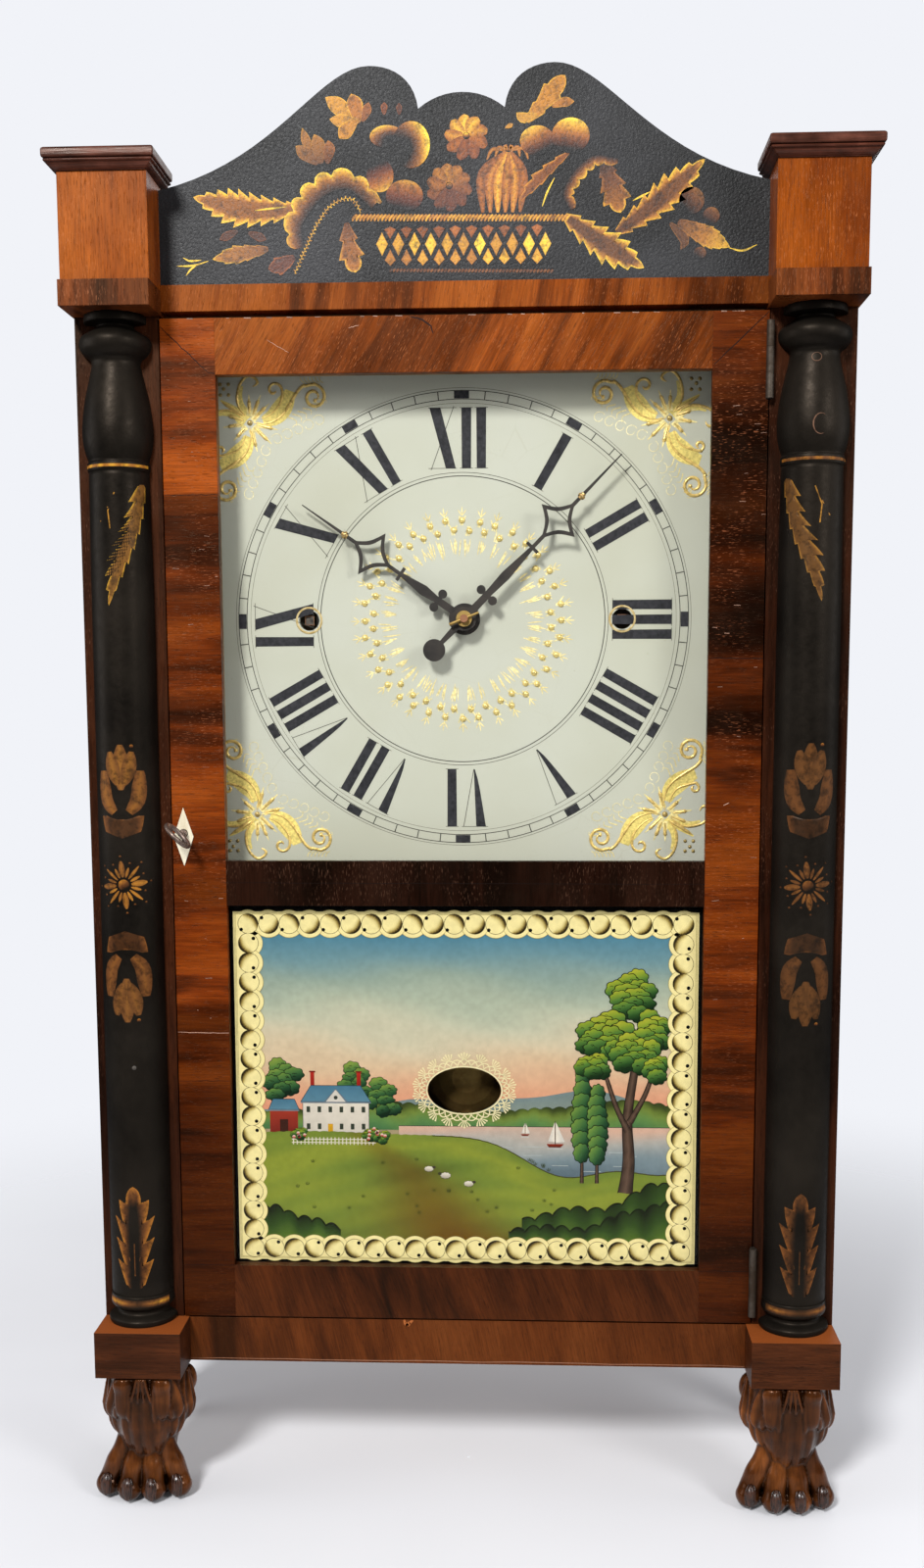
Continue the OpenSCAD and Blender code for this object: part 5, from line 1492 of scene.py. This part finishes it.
def trunk(pic, path, low_w, high_w):
    dark, light = (52, 42, 36), (104, 84, 70)
    rib = resample(smooth_line(path, 6), 16)
    wide = low_w + (high_w - low_w) * np.linspace(0, 1, 16) ** 0.6
    ribbon(pic, pic.place(), rib, lambda t: low_w + (high_w - low_w) * t ** 0.6,
           lambda t, c: blend_hue(0.55 - 0.6 * c - 0.2 * math.sin(40 * t) * c, dark, light, dark), across=4)
    for side in (-1, 1):
        pic.line(rib + np.array([side, 0]) * wide[:, None] / 2, 0.35, (32, 27, 24), new=side < 0)


def wall(pic, x0, x1, z0, z1, rows, columns, door):
    """A white wall with dark windows, a grey foot and thin outlines."""
    pic.box(x0, z0, x1, z1, (226, 222, 208), (206, 202, 190))
    pic.box(x0, z0, x1, z0 + 1, (108, 124, 138))
    first = True
    for row in range(rows):
        for column in range(columns):
            u = x0 + (x1 - x0) * (column + 0.5) / columns
            v = z0 + (z1 - z0) * (row + 0.55) / rows
            if row == 0 and column == door:
                pic.box(u - 1.5, z0 + 1, u + 1.5, z0 + 7.4, (206, 158, 40), new=first)
            else:
                pic.box(u - 1.1, v - 1.8, u + 1.1, v + 1.8, (58, 66, 56), new=first)
            first = False
    for x in (x0, x1):
        pic.line([(x, z0), (x, z1)], 0.3, (60, 66, 70), new=x == x0)


def roof(pic, x0, x1, z, rise, tuck=3.0, over=1.2):
    pic.panel((x0 - over, z), (x1 + over, z), (x0 + tuck, z + rise), (x1 - tuck, z + rise), (74, 120, 146),
              (92, 136, 158))
    edge = [(x0 - over, z), (x0 + tuck, z + rise), (x1 - tuck, z + rise), (x1 + over, z), (x0 - over, z)]
    for i in range(4):
        pic.line(edge[i:i + 2], 0.35, (40, 62, 78), new=i == 0)
    pic.line([(x0 - over, z - 0.5), (x1 + over, z - 0.5)], 0.8, (120, 134, 144))


def chimney(pic, u, z0, z1):
    pic.box(u - 1.2, z0, u + 1.2, z1, (178, 48, 38), (140, 36, 30))
    pic.box(u - 1.9, z1, u + 1.9, z1 + 1, (120, 32, 30), new=False)


def sail_boat(pic, u, z, size):
    pic.panel((u - 3.1 * size, z), (u + 2.6 * size, z), (u - 4.2 * size, z + 1.7 * size),
              (u + 4.2 * size, z + 1.7 * size), (150, 56, 40), (86, 40, 32))
    pic.line([(u, z + 1.5 * size), (u, z + 13 * size)], 0.35 * size, (70, 56, 48))
    for side, wide, low in ((-1, 3.4, 2.6), (1, 4.6, 2.4)):
        pic.lay([[(u + side * 0.35, z + low * size), (u + side * wide * size, z + (low + 0.4) * size)],
                 [(u + side * 0.3, z + 12.4 * size), (u + side * 0.36, z + 12.4 * size)]],
                np.array([[hue(240, 236, 222), hue(208, 208, 204)], [hue(236, 230, 214)] * 2]), new=side < 0)
    pic.line([(u - 4 * size, z - 0.7), (u + 3.6 * size, z - 0.9)], 0.4, (196, 200, 196))


def sheep(pic, u, z, size, way):
    for leg in (-1.6, -0.9, 0.8, 1.5):
        pic.line([(u + leg * size, z), (u + leg * size, z - 1.7 * size)], 0.3, (48, 42, 36), new=leg < -1.5)
    pic.blob(u, z, 2.5 * size, 1.5 * size,
             lambda p, q: blend_hue(0.6 + 0.5 * q, (150, 146, 128), (236, 232, 216)), 9, 0.14,
             hue(90, 84, 70))
    pic.blob(u + way * 2.7 * size, z + 0.9 * size, 0.9 * size, 0.7 * size, lambda p, q: hue(70, 60, 52), 5, 0,
             hue(40, 34, 30))


SKY = ((78, 134, 160), (112, 152, 162), (150, 172, 160), (176, 190, 170), (200, 204, 180), (214, 205, 176),
       (220, 194, 160), (224, 172, 138), (226, 154, 124))
GREENS = ((26, 50, 28), (48, 88, 42), (84, 128, 58), (132, 160, 52), (172, 180, 58))
DEEP_GREENS = ((24, 46, 32), (40, 78, 50), (66, 110, 62), (96, 136, 66), (128, 156, 70))
FAR_BANK = ((52, 64, 34), (116, 138, 62), (98, 140, 78), (72, 118, 76))
LAKE = ((214, 178, 156), (176, 178, 172), (128, 148, 156), (96, 116, 128), (84, 104, 116))
MEADOW = ((112, 134, 56), (140, 154, 58), (112, 134, 56), (78, 98, 44), (62, 80, 38))
BUSHES = ((30, 38, 22), (54, 80, 34), (88, 118, 46), (70, 96, 40))
BALL_SHADE = (CREAM, (196, 178, 104), (122, 104, 54), (62, 52, 28), (36, 31, 18))
LEAF_EDGE = (24, 34, 22)


def far_view(pic, rng):
    """Sky, hills, lake and the far bank."""
    def sky(x, t):
        streak = 0.045 * math.sin(x / 31 + 9 * t) + 0.03 * math.sin(x / 17 - 21 * t + 1)
        return blend_hue(t * 1.04 + streak * (1 - abs(2 * t - 1)), *SKY)

    pic.band(-123, 123, mound(343), mound(232), sky, 90, 48)
    pic.band(-123, 123, mound(236, (74, 34, 13), (22, 26, 6), (-30, 22, 7)), mound(228),
             lambda x, t: blend_hue(t, (118, 138, 140), (146, 160, 142)))
    pic.band(-123, 123, scalloped(mound(234, (98, 36, 8), (44, 20, 2), (-46, 40, 6)), 7.5, 1.7), mound(224),
             lambda x, t: blend_hue(t + 0.12 * math.sin(x / 5), *FAR_BANK), 220, 7)
    pic.band(-40, 123, mound(226.5), mound(186),
             lambda x, t: blend_hue(t + 0.06 * math.sin(x / 23 + 8 * t), *LAKE), 70, 16)
    pic.line([(-40, 226.6), (123, 226.6)], 0.5, (70, 84, 64))
    for k in range(16):
        u, v = rng.uniform(-20, 108), rng.uniform(190, 222)
        pic.line([(u, v), (u + rng.uniform(5, 13), v + rng.uniform(-0.2, 0.2))], 0.35, (178, 190, 190),
                 new=k == 0)


def farm(pic, rng):
    """Farmhouse and barn on a rise at the left, with trees behind."""
    for u, v, size, count in ((-111, 254, 5.6, 9), (-66, 252, 5.0, 8), (-50, 242, 4.6, 7)):
        crown(pic, u, v, 8.5, 11, count, size, rng, DEEP_GREENS)
    pic.box(-118, 222, -101, 236, (160, 60, 44), (120, 44, 36))
    roof(pic, -118, -101, 236, 6.5, 2, 0.8)
    pic.box(-112, 222, -107, 230, (66, 40, 32))
    for u in (-92, -64):
        chimney(pic, u, 250, 259)
    wall(pic, -98, -58, 220, 241, 2, 6, 2)
    roof(pic, -98, -58, 241, 10, 5)
    pic.lay([[(-84, 241), (-72, 241)], [(-78.05, 248.5), (-77.95, 248.5)]], hue(214, 212, 202))
    pic.line([(-85, 240.8), (-78, 248.8), (-71, 240.8)], 0.8, (104, 120, 134))
    pic.blob(-78, 243.6, 1.2, 1.2, lambda p, q: hue(60, 66, 60), 4, 0)


def near_view(pic, rng):
    """Meadow, path, boats, fence, sheep, the trees at the right and the bushes in front."""
    def land(x, t):
        glow = math.exp(-((x + 30) / 60) ** 2 - ((t - 0.3) / 0.22) ** 2)
        path_x = -66 + 74 * t ** 1.1 + 9 * math.sin(5 * t)
        path = math.exp(-((x - path_x) / (6 + 40 * t)) ** 2) * (0.4 + 0.6 * t)
        grass = blend_hue(0.55 * t + 0.45 * glow + 0.05 * math.sin(x / 9 + 30 * t), *MEADOW)
        return grass * (1 - 0.9 * path) + hue(108, 70, 18) * 0.9 * path

    shore = mound(220.5, (60, 34, -24), (120, 34, -22), (-90, 40, 2))
    pic.band(-123, 123, scalloped(shore, 5.5, 0.5), mound(155), land, 170, 26)
    pic.line([(x, shore(x)) for x in np.linspace(-20, 123, 60)], 0.6, (66, 62, 36))
    sail_boat(pic, 54, 214, 1.25)
    sail_boat(pic, 36, 221, 0.62)
    # fence and flowering bushes by the house
    for k in range(22):
        u = -104 + 2.3 * k
        pic.line([(u, 214.5), (u, 219)], 0.6, (226, 222, 206), new=k == 0)
    for v in (215.8, 217.8):
        pic.line([(-105, v), (-54, v)], 0.45, (226, 222, 206))
    for u, v in ((-100, 221), (-57, 221), (-50, 219)):
        crown(pic, u, v, 3.6, 3, 5, 2.7, rng, GREENS)
        for k in range(5):
            pic.blob(u + rng.uniform(-4, 4), v + rng.uniform(-3, 4), 1.0, 1.0,
                     lambda p, q: blend_hue(0.5 + q, (178, 52, 44), (236, 210, 196)), 5, 0.15, new=k == 0)
    for u, v, size, way in ((-22, 200, 1.15, 1), (-12, 196, 1.3, -1), (2, 191, 1.2, 1)):
        sheep(pic, u, v, size, way)
    # slim trees, then the tall one
    for u, high in ((70, 262), (79, 252)):
        trunk(pic, [(u, 192), (u, 214)], 2.2, 1.4)
        for k in range(7):
            v = high - 5 - k * (high - 208) / 7
            wide = 3.4 + 3.2 * math.sin(PI * (k + 1) / 8.5)
            pic.blob(u + rng.uniform(-0.6, 0.6), v, wide, 6.2,
                     lambda p, q: blend_hue(0.45 + 0.3 * q - 0.4 * p, *DEEP_GREENS), 9, 0.14, hue(*LEAF_EDGE),
                     rng.uniform(0, 3))
    trunk(pic, [(96, 186), (98, 206), (97, 232), (101, 262)], 9, 4.5)
    trunk(pic, [(97.5, 224), (90, 240), (84, 258)], 4.5, 2.2)
    trunk(pic, [(98.5, 230), (107, 246), (112, 260)], 4.5, 2.2)
    for u, v, ru, rv, count, size in ((99, 306, 11, 12, 12, 7.2), (84, 282, 13, 11, 13, 7.4),
                                      (111, 284, 7, 12, 9, 6.6), (100, 272, 13, 9, 11, 6.6),
                                      (76, 264, 7, 6, 6, 5.6), (114, 262, 4, 6, 5, 5.2)):
        crown(pic, u, v, ru, rv, count, size, rng, GREENS)
    for k in range(30):
        u, v = rng.uniform(-105, 60), rng.uniform(170, 206)
        for lean in (-1, 0, 1):
            pic.line([(u + lean * 0.5, v), (u + lean * 1.1, v + 2 - 0.4 * abs(lean))], 0.35, (58, 70, 32),
                     new=k + lean == -1)
    for top, x0, x1, pitch, tone in ((mound(166, (116, 26, 24), (64, 20, 8)), 34, 123, 10.5, 0.12),
                                     (mound(160, (122, 22, 18), (92, 14, 8), (50, 16, 3)), 26, 123, 9.0, 0.0),
                                     (mound(160, (-118, 16, 14), (-92, 12, 5)), -123, -76, 8.5, 0.05)):
        line = scalloped(top, pitch, 3.6)
        pic.band(x0, x1, line, mound(155),
                 lambda x, t: blend_hue(tone + 0.6 * t + 0.1 * math.sin(x / 3), *BUSHES), 150, 9)
        pic.line([(x, line(x) - 0.3) for x in np.linspace(x0, x1, 150)], 0.8, (24, 28, 18))


def ball_border(pic, rng):
    """Cream border with scalloped inner edge, shaded balls and black dots."""
    x_out, low, high = 138.0, 142.5, 356.6
    x_mid, z_low, z_high = 129.0, 149.7, 349.3
    left, foot, right, head = TABLET_EDGE
    for x0, z0, x1, z1 in ((left, foot, right, low), (left, high, right, head), (left, foot, -x_out, head),
                           (x_out, foot, right, head)):
        pic.box(x0, z0, x1, z1, (14, 13, 12), new=z1 == low)
    balls = []
    for k in range(22):
        u = -x_mid + 2 * x_mid * k / 21
        balls += [(u, z_high, k % 2, -45 if k % 2 else 45), (u, z_low, (k + 1) % 2, 225 if k % 2 else 130)]
    for k in range(1, 17):
        v = z_low + (z_high - z_low) * k / 17
        balls += [(-x_mid, v, k % 2, 140 if k % 2 else 215), (x_mid, v, (k + 1) % 2, 220 if k % 2 else 150)]
    plain = hue(*CREAM)
    # every second scallop lies over its neighbours: a thin dark rim with cream one step nearer
    for over in (0, 1):
        for i, (u, v) in enumerate(ball[:2] for ball in balls if ball[2] == over):
            pic.blob(u, v, 8.7, 8.5, lambda p, q: hue(168, 154, 86), 4, 0, new=i == 0)
            pic.blob(u, v, 8.45, 8.25, lambda p, q: plain, 4, 0)
            pic.depth -= 1
        pic.depth += 2
    strips = ((-x_out, z_high - 1.5, x_out, high), (-x_out, low, x_out, z_low + 1.5),
              (-x_out, low, -x_mid - 1.5, high), (x_mid + 1.5, low, x_out, high))
    for strip in strips:
        pic.box(*strip, CREAM)
    for inset in (0.9, 1.6):
        x, z0, z1 = x_out - inset, low + inset, high - inset
        frame_line = [(-x, z0), (x, z0), (x, z1), (-x, z1), (-x, z0)]
        for i in range(4):
            pic.line(frame_line[i:i + 2], 0.22, (138, 126, 66), new=i == 0)
    turn = whole_turn(34)
    rings = (1.0, 0.93, 0.84, 0.72, 0.58, 0.4, 0.2, 0.01)
    for part in ("ball", "crescent", "dot"):
        for i, (u, v, over, way) in enumerate(balls):
            dx, dz = math.cos(math.radians(way)), math.sin(math.radians(way))

            def crescent(p, q):
                dark = min(1.0, max(0.0, (p * dx + q * dz - 0.12) * 1.35)) * math.hypot(p, q) ** 1.8
                wave = 0.12 * math.sin(16 * math.atan2(q, p))
                return blend_hue(min(1, dark * (1.1 + wave)), *BALL_SHADE)

            if part == "ball":
                pic.blob(u, v, 6.15, 6.15, lambda p, q: plain, 4, 0, hue(70, 62, 34), new=i == 0)
            elif part == "crescent":
                rows = [(u, v) + 5.85 * r * heading(turn) for r in rings]
                paint = np.array([[crescent(r * math.cos(w), r * math.sin(w)) for w in turn] for r in rings])
                pic.lay(rows, paint, closed=True, new=i == 0)
            else:
                pic.blob(u - dx * 4.7 - 0.8, v - dz * 5.0, 1.1, 1.1, lambda p, q: hue(14, 12, 10), 4, 0,
                         new=i == 0)


def oval_wreath(pic):
    def ring(scale, t):
        return np.stack([OVAL[0] + (OVAL[2] + scale) * np.cos(t),
                         OVAL[1] + (OVAL[3] + scale * 0.96) * np.sin(t)], -1)

    t = np.linspace(0, 2 * PI, 181)
    colour = (246, 239, 190)
    pic.line(ring(0.6, t), 0.9, colour)
    count = 18
    for half in (0.0, 0.5):
        for k in range(count):
            span = np.linspace(k + half, k + half + 1, 12) * 2 * PI / count
            bulge = 3.9 * np.sin(np.linspace(0, PI, 12)) ** 0.7
            pic.line(ring(1.0 + bulge, span), 0.7, colour, new=k == 0)
    for k in range(count):
        a = (k + 0.5) * 2 * PI / count
        foot = ring(4.6, np.array([a]))[0]
        out = (foot - OVAL[:2]) / np.linalg.norm(foot - OVAL[:2])
        side = np.array([-out[1], out[0]])
        for lean in (-1, -0.5, 0, 0.5, 1):
            tip = foot + out * (4.9 - 1.4 * abs(lean)) + side * lean * 3.5
            path = smooth_line([foot, (foot + tip) / 2 + side * lean * 0.5, tip], 5)
            ribbon(pic, pic.place(k == 0), path, lambda v: 0.3 + 0.75 * v ** 1.5, hue(*colour))


def make_tablet():
    pic, rng = Picture(TABLET_BACK + 0.52), np.random.default_rng(3)
    far_view(pic, rng)
    farm(pic, rng)
    near_view(pic, rng)
    ball_border(pic, rng)
    oval_wreath(pic)
    pic.open_oval()
    pic.piece("tablet_painting", painted("tablet_paint", 0.5, 0.06, 260), "door", "painted_glass",
              smooth=False)
    coat = Picture(TABLET_BACK + 0.6)
    way = heading(whole_turn(288))
    hole = OVAL[:2] + way * OVAL[2:]
    sides = np.where(way > 0, TABLET_EDGE[2:], TABLET_EDGE[:2]) - np.array(OVAL[:2])
    edge = OVAL[:2] + way * np.min(np.abs(sides) / np.maximum(np.abs(way), 1e-6), axis=1)[:, None]
    coat.lay([hole + (edge - hole) * k for k in (0, 0.25, 0.5, 0.75, 1)], hue(150, 138, 108), closed=True)
    coat.piece("tablet_back_coat", painted("back_coat_paint", 0.7, 0.35, 70, 0.0001), "door",
               "painted_glass", smooth=False)


make_tablet()


# Small parts of the dial and the hands

def mottled(name, shine, scale, dark, light, gloss):
    look = Look(name, Specular_IOR_Level=shine)
    age = look.noise(scale, 3.0, 0.6)
    look.colour(look.ramp(age, [(0.35, dark), (0.65, light)]))
    look.roughness(look.span(age, 0.3, 0.7, gloss, gloss + 0.2))
    return look.material


def make_dial_parts():
    """Pale rims in the winding holes, near-black sleeves behind them as painted shade inside the holes, and
    brass collars on the hands.
    """
    rims, sleeves = Batch(), Batch()
    a = whole_turn(48)
    for x in (-WIND_X, WIND_X):
        for batch, profile in ((rims, ((8.05, 0.4), (8.0, -0.15), (7.2, -0.2), (6.4, 0.1), (6.35, 2.4))),
                               (sleeves, ((6.5, 0.6), (6.1, 0.6), (6.0, 5.8), (7.8, 6.0)))):
            batch.grid([np.stack([x + r * np.cos(a), DIAL_FRONT + h + 0 * a, DIAL_Z + r * np.sin(a)], -1)
                        for r, h in profile], closed=True)
    wood = mottled("rim_wood", 0.2, 400, (0.40, 0.28, 0.10), (0.62, 0.50, 0.26), 0.5)
    # The sleeves are near black: painted shade inside the winding holes.
    black = mottled("hole_shade_black", 0.1, 300, (0.004, 0.003, 0.003), (0.012, 0.009, 0.008), 0.6)
    rims.piece("winding_hole_rims", wood, "case", "painted_dial")
    sleeves.piece("winding_hole_shade_sleeves", black, "case", "ebonised_wood")
    brass = metal("collar_brass", (0.74, 0.52, 0.22), (0.42, 0.26, 0.10), 0.28, 0.85, 200)
    for name, body, angle, at, y in (("minute_collar", "minute", MINUTE_ANGLE, 97.3, reach("minute_hand")),
                                     ("hour_collar", "hour", HOUR_ANGLE, 85.5, reach("hour_hand"))):
        collar, turn = Batch(), math.radians(angle)
        way = np.array([math.sin(turn), 0, math.cos(turn)])
        mid = np.array([0, (y[0][1] + y[1][1]) / 2, DIAL_Z]) + way * at
        path = np.array([mid + way * off for off in (-2.1, -2.05, -1.5, -1, -0.7, 0.7, 1, 1.5, 2.05, 2.1)])
        sizes = (0.05, 1.1, 1.7, 1.0, 2.2, 2.2, 1.0, 1.7, 1.1, 0.05)
        tube(collar, path, lambda t: sizes[int(round(t * (len(sizes) - 1)))], sides=16)
        collar.piece(name, brass, body, "brass")


# Marks on the door and the base

def make_marks():
    """Mitre lines, veneer seams, scratches, stains and chips, and the keyhole."""
    door, base = Batch(), Batch()
    face, low = face_on(DOOR_FRONT), face_on(reach("bottom_rail")[0][1])
    seam, pale, stain = (0.006, 0.002, 0.001), (0.42, 0.24, 0.17), (0.016, 0.005, 0.003)
    rng = np.random.default_rng(21)

    def shaky(points, n=14, jitter=0.12):
        path = resample(np.array(points, float), n)
        return path + rng.normal(0, jitter, path.shape)

    for points, width, colour in (
            ([(-171, 691.2), (-144.3, 665.8)], 0.5, seam), ([(-144.3, 665.8), (-140.2, 665.2)], 0.4, seam),
            ([(170.9, 694.8), (140.8, 666.6)], 0.55, seam), ([(-171, 598), (-140.1, 598)], 0.35, seam),
            ([(-171, 255), (-140.1, 255.4)], 0.3, seam), ([(-171, 284.8), (-140.2, 284.4)], 0.35, pale),
            ([(140.1, 504.2), (171, 504)], 0.4, seam), ([(-171, 141), (-140.1, 141)], 0.3, seam),
            ([(140.1, 141), (171, 141)], 0.3, seam), ([(-140, 374.6), (140, 374.2)], 0.25, seam),
            ([(-29, 694.8), (-23, 693.5), (-17.5, 689.5), (-16.3, 685.6)], 0.9, stain),
            ([(-110, 683), (-98, 676)], 0.25, pale), ([(-64, 689), (-58, 690.4)], 0.3, pale),
            ([(150, 420), (153, 421.5)], 0.4, pale)):
        ribbon(door, face, shaky(points), bulging(0.6 * width, 0.4 * width), colour, door.rise())
    for k in range(26):
        u, v = rng.uniform(-168, 168), 695.3
        ribbon(door, face, shaky([(u, v), (u + rng.uniform(0.8, 4), v - 0.1)], 5, 0.04),
               rng.uniform(0.25, 0.7), np.array(pale) * rng.uniform(0.4, 0.9), door.rise())
    for k in range(34):
        side = rng.choice((-1, 1))
        u, v = side * rng.uniform(142, 169), rng.uniform(290, 660)
        ribbon(door, face, shaky([(u, v), (u + rng.uniform(1, 4), v + rng.normal(0, 0.2))], 5, 0.05),
               rng.uniform(0.12, 0.25), np.array(pale) * rng.uniform(0.5, 1.0), door.rise())
    for points, width, colour in (
            ([(-37.5, 107.3), (-35.4, 103.6), (-32.5, 107.3)], 2.2, (0.30, 0.085, 0.02)),
            ([(-168, 81.4), (168, 81.4)], 0.6, (0.20, 0.09, 0.05))):
        ribbon(base, low, shaky(points, 18, 0.2), bulging(0.55 * width, 0.45 * width), colour, base.rise())
    key_x, key_z = -164.5, 403.9
    front = face_on(reach("escutcheon")[0][1])
    disc(door, front, key_x, key_z, 2.6, (0.004, 0.003, 0.003), 0.03)
    ribbon(door, front, [(key_x, key_z - 1), (key_x, key_z - 4), (key_x, key_z - 7.4)],
           lambda t: 2.2 - 0.5 * t, (0.004, 0.003, 0.003), 0.04)
    material = painted("marks_in_veneer", 0.5, 0.2, 700)
    door.piece("door_marks", material, "door", "mahogany", smooth=False)
    base.piece("base_marks", material, "case", "mahogany", smooth=False)


# Cords

def strand(batch, path):
    """A laid cord: three strands twist round each other, once in each LAY of its length."""
    path = np.asarray(path, float)
    run = directions(path)
    length = np.concatenate([[0], np.cumsum(np.linalg.norm(np.diff(path, axis=0), axis=1))])
    back = np.array([0, 1.0, 0])
    side = np.cross(run, back)
    side /= np.maximum(np.linalg.norm(side, axis=1, keepdims=True), 1e-9)
    a = whole_turn(12)
    size = 0.80 + 0.18 * np.cos(3 * (a[None] - 2 * PI * length[:, None] / LAY))
    size[[0, -1]] *= 0.05
    up = np.cross(side, run)
    batch.grid(path[:, None] + size[..., None] * (side[:, None] * np.cos(a)[None, :, None]
                                                  + up[:, None] * np.sin(a)[None, :, None]), closed=True)


def make_cords():
    look = Look("laid_cord", Roughness=0.85, Specular_IOR_Level=0.15)
    fuzz = look.noise((1500, 1500, 900), 3.0, 0.6)
    look.colour(look.ramp(fuzz, [(0.3, (0.24, 0.18, 0.10)), (0.65, (0.50, 0.41, 0.27))]))
    look.bump(fuzz, 0.0002)
    for side, name in ((-1, "left"), (1, "right")):
        low, high = reach("fall_cord_" + name)
        x, y = (low[0] + high[0]) / 2, (low[1] + high[1]) / 2
        fall = Batch()
        strand(fall, [(x, y, z) for z in np.linspace(low[2], high[2], 240)])
        mesh = new_mesh("fall_rope_" + name, np.concatenate(fall.points), fall.faces, look.material)
        rope_piece = into_scene("fall_rope_" + name, mesh)
        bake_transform(rope_piece)
        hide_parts("fall_cord_" + name)
    lead = Batch()
    span = np.array([PULLEY_X - WIND_X, PULLEY_Z - DIAL_Z])
    tilt = math.asin((DRUM_WRAP - PULLEY_PITCH) / np.linalg.norm(span))
    off = math.atan2(span[1], span[0]) + PI / 2 - tilt
    for side in (-1, 1):
        start = np.array([WIND_X + DRUM_WRAP * math.cos(off), DIAL_Z + DRUM_WRAP * math.sin(off)])
        bend = np.linspace(off, 0, 40)
        arc = np.stack([PULLEY_X + PULLEY_PITCH * np.cos(bend), PULLEY_Z + PULLEY_PITCH * np.sin(bend)], -1)
        straight = start + (arc[0] - start) * np.linspace(0, 1, 150, endpoint=False)[:, None]
        path = np.concatenate([straight, arc])
        strand(lead, np.stack([side * path[:, 0], CORD_Y + 0 * path[:, 0], path[:, 1]], -1))
    lead.piece("lead_ropes", look.material, "case", "cord", replaces=("lead_cords",))


MINUTE_ANGLE, HOUR_ANGLE = 44.4, 305
PULLEY_X, PULLEY_Z, PULLEY_PITCH = 172.0, 682.0, 12.0
CORD_Y, DRUM_WRAP, LAY = 44.0, 15.15, 7
make_dial_parts()
make_marks()
make_cords()


# Moulded caps of the upper blocks: a thick slab over a small bead and a hollow

CAP_STEPS = ((6.2, 0), (6.0, 0.3), (5.0, 0.7), (3.7, 1.5), (2.7, 2.6), (2.3, 3.6), (1.2, 3.8), (0.8, 4.4),
             (1.1, 5.0), (2.3, 5.2), (2.3, 5.5), (0.5, 5.7), (0.1, 6.2), (0, 7.0), (0, 9.6), (0.3, 10.4),
             (1.0, 10.9), (2.4, 11))


def make_caps():
    look = Look("cap_wood", Specular_IOR_Level=0.3, Specular_Tint=(1, 0.8, 0.7, 1))
    fibre = look.noise(along("x", 900, 40), 3.0, 0.7)
    cloud = look.noise(60, 3.0, 0.6)
    body = look.ramp(cloud, [(0.3, (0.030, 0.009, 0.005)), (0.52, (0.062, 0.017, 0.009)),
                             (0.75, (0.115, 0.034, 0.02))])
    look.colour(look.tone(body, look.span(fibre, 0.3, 0.7, 0.6, 1.35)))
    look.roughness(look.span(cloud, 0.2, 0.8, 0.25, 0.45))
    look.bump(fibre, 0.00012)
    batch = Batch()
    low, high = reach("block_caps")
    inner, corner = 165.0, 0.5
    for side in (-1, 1):
        x0, x1 = sorted((side * inner, side * high[0]))
        rows = []
        for inset, rise in CAP_STEPS:
            a, b, c, d = x0 + inset, x1 - inset, low[1] + inset, high[1]
            ring = [(a + corner, c), ((a + b) / 2, c), (b - corner, c), (b, c + corner), (b, (c + d) / 2),
                    (b, d), ((a + b) / 2, d), (a, d), (a, (c + d) / 2), (a, c + corner)]
            rows.append([(x, y, low[2] + rise) for x, y in ring])
        middle = np.mean(rows[-1], axis=0)
        rows.append([middle + (np.array(point) - middle) * 0.01 for point in rows[-1]])
        batch.grid(rows, closed=True)
    caps = batch.piece("moulded_caps", look.material, "case", "mahogany", smooth=False,
                       replaces=("block_caps",))
    round_off = caps.modifiers.new("round", "BEVEL")
    round_off.width, round_off.segments, round_off.limit_method = 0.0003, 2, "ANGLE"


make_caps()


# Ends of the two winding squares, seen through the holes of the dial

def make_squares():
    for train, side in (("time", -1), ("strike", 1)):
        batch = Batch()
        half, corner = 2.75, 0.45
        ring = [(-half, corner - half), (-half, half - corner), (corner - half, half), (half - corner, half),
                (half, half - corner), (half, corner - half), (half - corner, -half), (corner - half, -half)]
        ends = ((1.0, -3.0), (1.0, SQUARE_END + 0.6), (0.86, SQUARE_END - 0.05), (0.01, SQUARE_END - 0.1))
        batch.grid([[(side * WIND_X + a * grow, y, DIAL_Z + b * grow) for a, b in ring] for grow, y in ends],
                   closed=True)
        batch.piece("winding_square_" + train, iron, "drum_" + train, "iron", smooth=False)


SQUARE_END = reach("strike_drum")[0][1]
iron = metal("winding_iron", (0.06, 0.055, 0.05), (0.16, 0.14, 0.12), 0.3, 0.9, 300)
make_squares()
